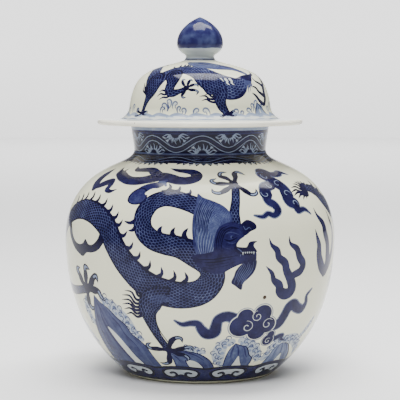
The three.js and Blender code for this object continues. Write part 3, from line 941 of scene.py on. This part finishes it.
def shoulder_scroll(canvas, count=8, first=-20):
    """A second, looser scroll on the slope, with a ragged lower edge of leaves."""
    pitch = 360 / count
    band(canvas, 226.0, 232.6, 0.95)
    for n in range(count):
        at = first + n * pitch
        for dx in np.arange(-17, 18, 4.25):
            drop = 1.3 * math.cos(math.radians(dx * 8)) + (0.7 if dx % 2 else 0)
            edge = [(at + pitch / 2 + dx * 0.7, 228.5), (at + pitch / 2 + dx, 226.5),
                    (at + pitch / 2 + dx * 1.12, 224.6 - drop * 0.6)]
            leaf(canvas, canvas.flat(edge), 4.6, outline=0.66)
        for dx, z in ((-14, 230.8), (-8, 231.2), (8, 231.2), (14, 230.8)):
            leaf(canvas, canvas.flat([(at + pitch / 2 + dx * 0.2, 230), (at + pitch / 2 + dx * 0.6, 230.9),
                                      (at + pitch / 2 + dx, z)]), 2.4, outline=0.5)
    wave = [(first + a, 228.4 + 1.9 * math.cos(math.radians(a / pitch * 360)))
            for a in np.arange(0, 361, 5.625)]
    canvas.stroke(wave, [5.0, 5.0], 0.4)
    canvas.stroke(wave, [3.8, 3.8], 0.98)
    for n in range(count):
        at = first + (n + 0.5) * pitch
        for dx in (-3.5, 3.5):
            canvas.stroke([(at + dx * 4, 225.9), (at + dx * 2.2, 224.7), (at + dx, 225.6)],
                          [0.4, 1.0, 0.4], 0.2)


def paint_jar():
    """Everything that is painted on the jar, from the back of the picture to the front."""
    canvas = Canvas(jar_wall)
    for draw in (shore, clouds, flames, dragon_body, scroll_bulb, dragon_legs, dragon_mane, dragon_head):
        canvas.twice(draw)
    for speck, size in (((27.6, 95.5), 2.1), ((118, 170), 0.9), ((-150, 84), 1.0), ((171, 208), 0.7)):
        canvas.disc(speck, size, IRON)
    foot_border(canvas)
    shoulder_scroll(canvas)
    neck_scroll(canvas)
    return canvas


def locks(canvas, paths, width):
    """Separate wavy locks of hair, each drawn from its root to its tip."""
    for path in paths:
        canvas.stroke(path, [width * 1.3, width, width * 0.8, 0.5], 0.93)


def lid_dragon(canvas):
    """A striding dragon that arches over the lid, head to the right."""
    lid_dragon_body(canvas)
    lid_dragon_legs(canvas)
    lid_dragon_head(canvas)


def lid_dragon_body(canvas):
    """Tail, back and belly, with fins and a few pale hairs on the shoulder."""
    tail = [(-46, 305), (-50, 312), (-56, 318.4), (-68, 322.5), (-84, 322), (-98, 314.5), (-108, 304),
            (-113, 294)]
    back = [(-43, 304), (-40, 311), (-35, 317), (-26, 320.6), (-12, 320.8), (1, 317.8), (9, 311.5), (17, 306),
            (26, 303), (35, 304.4), (43, 309.5), (49, 312.4)]
    fins(canvas, [(-60, 325.4), (-74, 325.6), (-88, 321.4), (-99, 315)],
         [(-68, 328.8), (-82, 327.6), (-93, 322.5), (-103, 315)], base=3)
    fins(canvas, [(-38, 321.4), (-30, 323.4), (-18, 324.4), (-6, 323.4)],
         [(-38.2, 324.4), (-31.5, 326.2), (-25, 327), (-18.5, 327.2), (-12, 327), (-5, 325.8)],
         base=2.6, bend=-0.16)
    canvas.stroke(tail, [17, 15, 12, 10, 8, 6, 4, 2], 0.84, lay=SKIN, edge=0.5)
    canvas.stroke(back, [14, 15, 15, 16, 19, 22, 26, 28, 27, 24, 14, 8], 0.84, lay=SKIN, edge=0.5)
    for az in (15.4, 19.6, 24.2, 28.6):
        canvas.stroke([(az - 0.6, 311.2), (az + 0.6, 309), (az, 307.2), (az + 2, 305.2)],
                      [3, 2.4, 1.8, 0.4], 0.14)


def lid_dragon_legs(canvas):
    """A planted leg on the left, a reaching foreleg, and a planted leg on the right."""
    # hind leg on the left, planted on the waves
    locks(canvas, [[(-46.5, 291), (-51.4, 296.5), (-55.4, 299), (-57.1, 302.6)],
                   [(-47, 294), (-52, 298.6), (-55, 303), (-58.2, 307.2)],
                   [(-47, 298.4), (-51, 301), (-53.4, 304), (-52.9, 307)]], 2.6)
    canvas.stroke([(-44, 312), (-44.2, 304), (-45, 298.4), (-47.2, 292), (-49.2, 285.4), (-51.3, 277.6)],
                  [19, 18, 14, 8, 4.8, 4], 0.93, lay=SKIN, edge=0.4)
    paw(canvas, [[(-56, 277.4), (-59.6, 278.6), (-57.6, 281)], [(-54, 274), (-57, 273), (-58.6, 274.4)],
                 [(-49, 275.4), (-46.4, 274.2), (-45, 275.2)], [(-49, 277.4), (-46.2, 278), (-44.6, 276.8)]],
        (-51.8, 276.2), 2.3, 2.6)
    # foreleg reaching out to the right with its toes spread
    locks(canvas, [[(-25.6, 299.6), (-29, 299), (-32.6, 299.8), (-35.6, 298)],
                   [(-25.6, 297), (-30, 295.4), (-34, 296.2), (-37, 293.4)],
                   [(-23.5, 295.8), (-27.6, 292.6), (-31, 292.6), (-34.8, 290.4)]], 2.2)
    canvas.stroke([(-26, 316), (-25.2, 309), (-26.2, 303), (-26, 298.8), (-22.5, 297),
                   (-17, 298.8), (-12.6, 301)],
                  [18, 16, 11, 10, 8, 5, 4.4], 0.93, lay=SKIN, edge=0.4)
    paw(canvas, [[(-13.7, 305), (-15.4, 308.3), (-15.2, 310.6), (-12.8, 310.2)],
                 [(-10.4, 305.4), (-9.6, 308.6), (-8.2, 310.4), (-6.4, 309)],
                 [(-9, 303.8), (-5, 305.6), (-2.2, 305.2), (-1.5, 302.8)],
                 [(-8.6, 300.4), (-4.2, 299.9), (-1.6, 298.2), (-2.9, 295.2)],
                 [(-12.5, 298.6), (-14.6, 294.9), (-13.6, 292.4), (-11.2, 292.8)]], (-11.2, 302.1), 2.6, 2.9)
    # right leg, planted, with long locks behind the elbow
    locks(canvas, [[(14, 294), (9.4, 293.4), (7, 296.2), (4, 295.2)],
                   [(14, 291), (7.6, 291), (4.4, 294), (-0.4, 293.8)],
                   [(15, 287.6), (9, 288), (5, 290.6), (1.4, 289.2)]], 2.4)
    canvas.stroke([(6, 315), (11, 306), (16, 298), (16.2, 290.6), (17.4, 284), (20.6, 277)],
                  [5, 20, 22, 14, 10, 7], 0.92, lay=SKIN, edge=0.4)
    paw(canvas, [[(24, 276.5), (26.5, 278.8), (28.5, 277.4)], [(23.5, 274.4), (27, 274), (28.6, 275.2)],
                 [(18, 274.5), (16.5, 273), (14.5, 274)]], (21, 275.6), 2.4, 3)


def lid_dragon_head(canvas):
    """The mane swept up over the back, skull, snout and beard."""
    mane = [(-24, 328.4), (-2.2, 326.8), (14.8, 325.4), (28.5, 324), (41, 322.4), (49, 319.4), (53.5, 316.4)]
    canvas.stroke(mane, [4, 17, 23, 21, 14, 8, 4], 0.56, edge=0.5, edge_ink=0.8)
    canvas.stroke([(-14, 328), (2, 327.4), (12, 326.6), (20, 326)], [0.5, 3, 5, 0.5], 0.76)
    canvas.stroke([(26, 325.6), (36, 324), (45, 321.6)], [0.5, 4, 0.5], 0.7)
    canvas.fill([(40, 313.2), (45.5, 315), (55.6, 316), (62, 316.8), (66.4, 319), (65.6, 316), (58, 313.4),
                 (54, 309.4), (50.4, 307.6), (46.4, 309.6)], 0.86)
    canvas.stroke([(44, 313), (51, 314.2), (59, 315.4)], [0.5, 1.2, 0.4], 1.0)
    tuft(canvas, [(44, 309.5), (51, 308.5)],
         [(40.6, 301.4), (42, 298.4), (44.4, 297.2), (47, 298.6), (50.4, 301.4)], 0.08, 0.6, 2.0)


def lid_flames(canvas):
    """Flames in front of the head and below it."""
    canvas.stroke([(57.6, 314), (59.2, 309.4), (64.6, 307), (69.4, 303.5), (68.3, 298.2),
                   (67.5, 291.7), (64.5, 286)],
                  [0.6, 2.6, 3.4, 5.4, 6.4, 5.6, 4.4], 0.9)
    canvas.stroke([(51, 304), (55.5, 302.2), (58.2, 298.4), (62.6, 295.6), (67, 293.6)],
                  [0.8, 3, 3.4, 4.2, 5], 0.9)
    canvas.stroke([(48.6, 297), (52.5, 294), (55.6, 290), (58.6, 287.2), (63, 285)],
                  [0.8, 3.2, 3.8, 4.6, 4], 0.9)


def curl(canvas, place, size, lean, side):
    """One wave crest: a line that climbs, bends over and rolls in, above a soft pale wash."""
    canvas.disc(place, size, 0.13, 0.7)
    crest = [(-0.5, -1.7), (-0.7, -0.7), (-0.4, 0.4), (0.4, 0.8), (1.0, 0.3), (0.8, -0.4), (0.3, -0.3)]
    inner_line = [(0.5, -1.6), (0.3, -0.9), (0.5, -0.2)]
    turn = math.radians(lean)
    for offsets, width in ((crest, 1.5), (inner_line, 1.0)):
        flat = np.array(offsets) * size * (side, 1)
        flat = flat @ np.array([[math.cos(turn), math.sin(turn)], [-math.sin(turn), math.cos(turn)]])
        canvas.line(smooth(canvas.spot(place, flat), step=1.0), [0.5, width, width, 0.5], 0.46)


def lid_waves(canvas):
    """Pale swell on the flare, with crests that break into curls."""
    band(canvas, 268.9, 274.2, 0.15)
    for n in range(24):
        at = n * 15
        canvas.stroke([(at - 10, 272.6), (at - 4, 275.2), (at + 2, 274.4), (at + 10, 272.8)],
                      [2, 4, 3.4, 1], 0.3)
        canvas.stroke([(at - 6, 271), (at, 272), (at + 6, 271)], [1, 2.6, 1], 0.12)
        canvas.stroke([(at - 4, 270), (at + 4, 270.5), (at + 12, 270)], [1, 2.6, 1], 0.36)
    crests = ((-31, 281, 2.6, 1), (-28.6, 284.5, 3.2, -1), (-24.4, 287.5, 3.4, -1), (-20.4, 286, 3, 1),
              (-17, 281, 2.6, 1), (-12, 279, 3, -1), (-3.4, 279, 3.2, 1), (5, 279.6, 3.4, -1),
              (28.6, 278.6, 3.2, 1), (34, 277, 2.4, 1), (42, 279.4, 3.2, -1), (46.4, 283.4, 3, -1),
              (50, 286.6, 3.4, 1), (57, 282, 3.2, 1), (70, 280, 3.6, -1), (76, 284, 3.2, 1),
              (86, 279, 3.4, -1), (95, 282, 3.6, 1), (104, 279, 3.2, -1), (113, 282, 3.4, 1),
              (122, 278.6, 3, -1))
    for n, (az, z, size, side) in enumerate(crests):
        curl(canvas, (az, z), size, 24 * math.sin(n * 2.1), side)
    canvas.stroke([(-26, 279), (-25.4, 283), (-26.6, 287)], [1.6, 2, 0.4], 0.5)
    rock(canvas, [(52, 287), (50, 281), (48, 276), (46, 272)], [(52, 287), (57, 283), (61, 278), (66, 272)],
         [(54, 281), (57, 276), (58, 273), (54, 273.5)], 0.38)


def paint_lid():
    """Everything that is painted on the lid's dome."""
    canvas = Canvas(lid_wall)
    for draw in (lid_waves, lid_flames, lid_dragon):
        canvas.twice(draw)
    band(canvas, 330.2, 331.2, 0.16)
    return canvas


# ------------------------------------------------------------------ materials

class Tree:
    """Shorthand for building one material's nodes."""

    def __init__(self, name):
        self.material = bpy.data.materials.new(name)
        self.material.use_nodes = True
        self.nodes = self.material.node_tree.nodes
        self.links = self.material.node_tree.links
        self.shader = self.nodes["Principled BSDF"]

    def add(self, kind, settings=(), **inputs):
        """A node with its settings. Inputs go by name, or by number as i0, i1 and so on."""
        made = self.nodes.new("ShaderNode" + kind)
        for key, value in dict(settings).items():
            setattr(made, key, value)
        for key, value in inputs.items():
            self.put(made.inputs[int(key[1:]) if key[1:].isdigit() else key.replace("_", " ")], value)
        return made

    def put(self, socket, value):
        """Links an output to a socket, or sets its value."""
        if isinstance(value, bpy.types.NodeSocket):
            self.links.new(value, socket)
        else:
            socket.default_value = value

    def math(self, operation, a, b=0.0, c=0.0):
        """One step of arithmetic."""
        return self.add("Math", {"operation": operation}, i0=a, i1=b, i2=c).outputs[0]

    def fade(self, value, start, end, smooth_step=False):
        """From 0 where the value is at start to 1 where it is at end."""
        kind = "SMOOTHSTEP" if smooth_step else "LINEAR"
        made = self.add("MapRange", {"interpolation_type": kind}, Value=value, i1=start, i2=end)
        return made.outputs[0]

    def attribute(self, name):
        """A number that the mesh carries at its corners."""
        return self.add("Attribute", {"attribute_name": name}).outputs["Fac"]

    def noise(self, size_mm, detail=2.0, seed=0.0):
        """Soft random tone with spots of about this size, fixed to the piece."""
        where = self.add("TexCoord").outputs["Object"]
        moved = self.add("VectorMath", {"operation": "ADD"}, i0=where, i1=(seed, seed * 2, seed * 3))
        made = self.add("TexNoise", Vector=moved.outputs[0], Scale=1 / (size_mm * MM), Detail=detail)
        return made.outputs["Fac"]

    def blend(self, amount, a, b):
        """A colour between a and b."""
        return self.add("Mix", {"data_type": "RGBA"}, i0=amount, i6=a, i7=b).outputs[2]

    def ramp(self, value, stops):
        """A colour read from (place, colour) stops."""
        made = self.add("ValToRGB", Fac=value)
        marks = made.color_ramp.elements
        while len(marks) < len(stops):
            marks.new(0.5)
        for stop, (at, color) in zip(marks, stops):
            stop.position = at
            stop.color = color
        return made.outputs["Color"]


def rgb(red, green, blue):
    """An sRGB colour given as 0 to 255, as Blender's linear RGBA."""
    channels = [c / 255 for c in (red, green, blue)]
    return [c / 12.92 if c <= 0.04045 else ((c + 0.055) / 1.055) ** 2.4 for c in channels] + [1.0]


# the colour that each strength of ink fires to
GLAZE = [(0.0, rgb(229, 228, 198)), (0.12, rgb(203, 207, 199)), (0.3, rgb(131, 145, 169)),
         (0.5, rgb(70, 79, 115)), (0.7, rgb(33, 33, 77)), (0.88, rgb(16, 12, 48)),
         (1.0, rgb(8, 7, 34))]
SPECK = rgb(58, 42, 30)           # an iron speck in the glaze
SCALE_ROW = 2.95                  # pitch of the scales along a body, in millimetres
SCALE_LANE = 3.05                 # and across it
GLAZE_ROUGHNESS = 0.12
ORANGE_PEEL = 0.12 * MM           # height of the glaze's slight waves


def finish_glaze(tree):
    """Clear glaze over everything: glossy, with a faint orange peel."""
    tree.shader.inputs["IOR"].default_value = 1.5
    tree.shader.inputs["Specular IOR Level"].default_value = 0.2
    uneven = tree.math("MULTIPLY_ADD", tree.noise(9, 3), 0.1, GLAZE_ROUGHNESS - 0.05)
    tree.put(tree.shader.inputs["Roughness"], uneven)
    bump = tree.add("Bump", Height=tree.noise(14, 2, seed=0.3), Distance=ORANGE_PEEL, Strength=0.5)
    tree.put(tree.shader.inputs["Normal"], bump.outputs[0])


def scale_net(tree, along, across):
    """Overlapping scales: 1 on each scale's rim. Every second row is shifted by half a scale."""
    row = tree.math("DIVIDE", along, SCALE_ROW)
    step = tree.math("FRACT", row)
    odd = tree.math("MULTIPLY", tree.math("PINGPONG", tree.math("FLOOR", row), 1.0), 0.5)
    lane = tree.math("FRACT", tree.math("MULTIPLY_ADD", across, 1 / SCALE_LANE, odd))
    aside = tree.math("MULTIPLY", tree.math("SUBTRACT", lane, 0.5), 2.0)
    squares = tree.math("ADD", tree.math("POWER", step, 2.0), tree.math("POWER", aside, 2.0))
    away = tree.math("SQRT", squares)
    return tree.math("MULTIPLY", tree.fade(away, 0.74, 0.9, True), tree.fade(away, 1.14, 0.98, True))


def painted_glaze(name, pale_lines=0.38):
    """White porcelain painted in cobalt under clear glaze, read from the brushwork attributes."""
    tree = Tree(name)
    ink, skin = tree.attribute("ink"), tree.attribute("skin")
    along, across, room = (tree.attribute(key) for key in ("along", "across", "room"))
    net = tree.math("MULTIPLY", scale_net(tree, along, across), tree.fade(room, 0.5, 1.2))
    pale = tree.math("MULTIPLY", net, skin)

    # the wash pools and thins as it dries, and only where there is ink
    pool = tree.math("SUBTRACT", tree.noise(11, 3), 0.5)
    grain = tree.math("SUBTRACT", tree.noise(2.2, 4, seed=0.7), 0.5)
    drift = tree.math("ADD", tree.math("MULTIPLY", pool, 0.55), tree.math("MULTIPLY", grain, 0.26))
    tone = tree.math("MULTIPLY_ADD", drift, tree.math("MULTIPLY", ink, 0.9), ink)
    tone = tree.math("MULTIPLY_ADD", pale, -pale_lines, tone)
    body = tree.math("MULTIPLY", tree.noise(40, 2, seed=1.9), 0.035)
    tone = tree.math("MAXIMUM", tone, body)
    color = tree.blend(tree.fade(ink, 1.2, 1.4), tree.ramp(tone, GLAZE), SPECK)
    tree.put(tree.shader.inputs["Base Color"], color)
    finish_glaze(tree)
    return tree.material


def plain_glaze(name, color=(222, 223, 212)):
    """Unpainted glaze: slow drifts of tone and a few tiny iron spots."""
    tree = Tree(name)
    dim = rgb(*(c * 0.95 for c in color))
    spot = tree.fade(tree.noise(5, 1, seed=2.3), 0.79, 0.81)
    drift = tree.ramp(tree.noise(30, 3), [(0.3, dim), (0.7, rgb(*color))])
    tree.put(tree.shader.inputs["Base Color"], tree.blend(spot, drift, rgb(120, 104, 84)))
    finish_glaze(tree)
    return tree.material


def knob_glaze():
    """Cobalt wash over the bud, its lower edge a little uneven, and below it white glaze greyed by painted
    shade, for the bud's shadow on the stem.
    """
    tree = Tree("knob glaze")
    height = tree.add("SeparateXYZ", Vector=tree.add("TexCoord").outputs["Object"]).outputs[2]
    uneven = tree.math("MULTIPLY_ADD", tree.noise(14, 2), 3 * MM, height)
    blue = tree.fade(uneven, (BUD_Z - 4.6) * MM, (BUD_Z - 3.4) * MM)
    ring = tree.fade(height, (STEM_Z + 1.5) * MM, (STEM_Z + 0.8) * MM)
    wash = tree.math("MULTIPLY", tree.math("MULTIPLY_ADD", tree.noise(9, 4), 0.5, 0.42), blue)
    # painted shade: a grey tone over the knob below the blue, standing in for the bud's shadow on the stem
    stem = tree.math("MULTIPLY_ADD", tree.noise(12, 2), 0.08, 0.17)
    tone = tree.math("MAXIMUM", tree.math("MAXIMUM", wash, stem), tree.math("MULTIPLY", ring, 0.6))
    tree.put(tree.shader.inputs["Base Color"], tree.ramp(tone, GLAZE))
    finish_glaze(tree)
    return tree.material


def bare_porcelain(name, color=(150, 138, 120)):
    """Unglazed fired body: matt, speckled and a little rough."""
    tree = Tree(name)
    dark = rgb(*(c * 0.72 for c in color))
    light = rgb(*(min(255, c * 1.12) for c in color))
    tree.put(tree.shader.inputs["Base Color"],
             tree.ramp(tree.noise(3, 5), [(0.25, dark), (0.55, rgb(*color)), (0.8, light)]))
    rough = tree.add("MapRange", Value=tree.noise(1.5, 3), i3=0.6, i4=0.85)
    tree.put(tree.shader.inputs["Roughness"], rough.outputs[0])
    bump = tree.add("Bump", Height=tree.noise(0.8, 4), Distance=0.15 * MM, Strength=0.6)
    tree.put(tree.shader.inputs["Normal"], bump.outputs[0])
    return tree.material


# ------------------------------------------------------------------ pieces

def build_jar():
    """The painted outside in the CAD's three sections, the lining, and the foot."""
    painted = painted_glaze("painted porcelain")
    plain = plain_glaze("clear glaze")
    canvas = paint_jar()
    seam, waist = jar_wall.along(BELLY_Z), jar_wall.along(WAIST_Z)
    top = jar_wall.s[-1]
    skins = (("jar_lower_painted", 0.0, seam, "jar_lower_body", "jar_lower_glaze"),
             ("jar_upper_painted", seam, waist, "jar_upper_body", "jar_upper_glaze"),
             ("jar_neck_painted", waist, top, "jar_neck", "neck_glaze"))
    made = []
    for name, low, high, node, slot in skins:
        skin = painted_skin(name, canvas, low, high, painted)
        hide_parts(node)
        made.append(skin)
    inner = inset(join(lower_curve, upper_curve, slope_curve, neck_curve), WALL)
    inner = inner[inner[:, 1] > FLOOR_Z + 4]
    inner_r = RIM_R - RIM_WIDTH
    rim = join((RIM_R, RIM_Z - RIM_ROUND), arc(RIM_R - RIM_ROUND, RIM_Z - RIM_ROUND, RIM_ROUND, 0, 90, 5),
               (inner_r, RIM_Z), arc(inner_r, RIM_Z - RIM_INNER_ROUND, RIM_INNER_ROUND, 90, 180, 5))
    lining = turned("jar_lining", join(rim, inner[::-1], (FLOOR_R, FLOOR_Z + 0.8), (0, FLOOR_Z)), plain)
    ring = join((FOOT_INNER_R - 1.6, RECESS_Z), (FOOT_INNER_R - 0.6, 0.8), (FOOT_INNER_R + 0.4, 0),
                (FOOT_R - 1.3, 0), (FOOT_R, FOOT_EDGE_Z))
    foot = turned("jar_foot_ring", ring, bare_porcelain("foot biscuit"))
    base = turned("jar_base", [(0, RECESS_Z), (FOOT_INNER_R - 1.6, RECESS_Z)], plain)
    made += [lining, foot, base]
    for thing in made:
        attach(thing, "jar")


def build_lid():
    """The painted dome, the flange's edge, the lining, the collar and the knob."""
    painted = painted_glaze("painted lid porcelain", 0.34)
    plain = plain_glaze("lid clear glaze")
    # the flange's edge: partly its own cream colour, partly painted light, brightened for the light that
    # falls on it from above
    cream_with_painted_light = plain_glaze("lid edge", (252, 248, 232))
    canvas = paint_lid()
    skin = painted_skin("lid_dome_painted", canvas, 0.0, lid_wall.s[-1], painted, grid=2.4)
    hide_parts("lid_dome")
    half = LIP / 2
    lip = join(arc(FLANGE_R - half, FLANGE_Z + half, half, 90, -90), (COLLAR_INNER_R, FLANGE_Z))
    edge = turned("lid_flange_edge", lip, cream_with_painted_light)
    dome_r = DOME_R - LID_WALL
    hollow = join((COLLAR_INNER_R, FLANGE_Z), (COLLAR_INNER_R, FLANGE_Z + LIP),
                  (dome_r - 2, FLANGE_Z + LIP + 0.6), (dome_r, FLANGE_Z + LIP + 3),
                  inset(crown_curve, LID_WALL), (VENT_R, CROWN_Z - LID_WALL - 0.4), (VENT_R, STEM_Z + 8),
                  (HOLLOW_R, STEM_Z + 14), (HOLLOW_R, TIP_Z - 18), (0, TIP_Z - 12))
    lining = turned("lid_lining", hollow, plain)
    band_of_clay = join((COLLAR_INNER_R, COLLAR_TOP), (COLLAR_INNER_R, COLLAR_Z + COLLAR_BEVEL),
                        (COLLAR_INNER_R + COLLAR_BEVEL, COLLAR_Z), (COLLAR_R - COLLAR_BEVEL, COLLAR_Z),
                        (COLLAR_R, COLLAR_Z + COLLAR_BEVEL), (COLLAR_R, COLLAR_TOP))
    ring = turned("lid_collar", band_of_clay, bare_porcelain("collar biscuit", (212, 205, 188)))
    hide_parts("lid_locating_collar")
    for thing in (skin, edge, lining, ring, build_knob()):
        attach(thing, "lid")


def build_knob():
    """The bud on its short stem."""
    under = bezier((STEM_R, STEM_Z + 2.7), (STEM_R, STEM_Z + 7.2), (BUD_R, BUD_Z - BUD_DOWN), (BUD_R, BUD_Z))
    over = bezier((BUD_R, BUD_Z), (BUD_R, BUD_Z + BUD_UP), (10, TIP_Z - 3.5), (0, TIP_Z))
    profile = join((STEM_R + 1.6, STEM_Z), (STEM_R + 1, STEM_Z + 1.2), under, over)
    knob = turned("lid_knob", profile, knob_glaze(), sides=96)
    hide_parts("lid_finial")
    return knob


# ------------------------------------------------------------------ floor, light and camera

def softbox(name, place, aim, size, power, glossy=True):
    """A rectangular light aimed at a point. The glaze doesn't mirror it unless it is glossy."""
    light = bpy.data.lights.new(name, "AREA")
    light.shape = "RECTANGLE"
    light.size = size[0]
    light.size_y = size[1]
    light.energy = power
    lamp = bpy.data.objects.new(name, light)
    lamp.visible_glossy = glossy
    lamp.location = place
    lamp.rotation_euler = (Vector(aim) - Vector(place)).to_track_quat("-Z", "Y").to_euler()
    bpy.context.scene.collection.objects.link(lamp)
    return lamp


def ceiling_panel(name, place, size, power, turn):
    """A light that faces straight down, its long side turned this many degrees from the picture plane."""
    lamp = softbox(name, place, (place[0], place[1], 0), size, power)
    lamp.rotation_euler = (0, 0, math.radians(turn))


def pale_floor():
    """A plain matt floor, the same all round the jar."""
    bpy.ops.mesh.primitive_plane_add(size=14)
    floor = bpy.context.object
    floor.name = "floor"
    tree = Tree("studio floor")
    tree.shader.inputs["Base Color"].default_value = (0.9, 0.9, 0.9, 1)
    tree.shader.inputs["Roughness"].default_value = 0.8
    floor.data.materials.append(tree.material)


def pale_surroundings():
    """Dim all round and bright far behind the jar (+Y), where it meets the floor without a line."""
    world = bpy.data.worlds.new("studio")
    world.use_nodes = True
    nodes, links = world.node_tree.nodes, world.node_tree.links
    place = nodes.new("ShaderNodeTexCoord")
    split = nodes.new("ShaderNodeSeparateXYZ")
    links.new(place.outputs["Generated"], split.inputs[0])
    strength = nodes.new("ShaderNodeMath")
    strength.operation = "MULTIPLY"
    behind = ("Y", 0.982, 0.9895, 0.28, 2.2)      # direction, where it starts and ends, strength there
    upward = ("Z", -0.04, 0.02, 0.86, 1.0)
    for socket, (axis, *limits) in zip(strength.inputs, (behind, upward)):
        fade = nodes.new("ShaderNodeMapRange")
        links.new(split.outputs[axis], fade.inputs["Value"])
        for target, value in zip(fade.inputs[1:5], limits):
            target.default_value = value
        links.new(fade.outputs[0], socket)
    links.new(strength.outputs[0], nodes["Background"].inputs["Strength"])
    nodes["Background"].inputs["Color"].default_value = (1, 1, 1, 1)
    bpy.context.scene.world = world


def studio():
    """Floor, surroundings, a fill from the front, a wash far behind, and panels overhead."""
    pale_floor()
    pale_surroundings()
    softbox("front fill", (-0.3, -1.8, 2.25), (0, 0, 0.2), (1.4, 1.0), 62, glossy=False)
    softbox("floor wash", (0, 5.3, 3.2), (0, 5.4, 0), (8, 6), 560, glossy=False)
    ceiling_panel("overhead", (-0.05, 0.05, 1.75), (1.1, 0.9), 40, 0)
    ceiling_panel("overhead right", (0.72, 0.42, 1.75), (0.9, 0.4), 14, 38)


def camera():
    """At the photograph's distance and eye height, tipped down a little."""
    distance, eye, tip = 1.595, 0.306, 4.42
    lens = bpy.data.cameras.new("camera")
    lens.lens = 134.9
    lens.sensor_width = 36
    view = bpy.data.objects.new("camera", lens)
    view.location = (0, -distance, eye)
    view.rotation_euler = (math.radians(90 - tip), 0, 0)
    bpy.context.scene.collection.objects.link(view)
    bpy.context.scene.camera = view


build_jar()
build_lid()
studio()
camera()
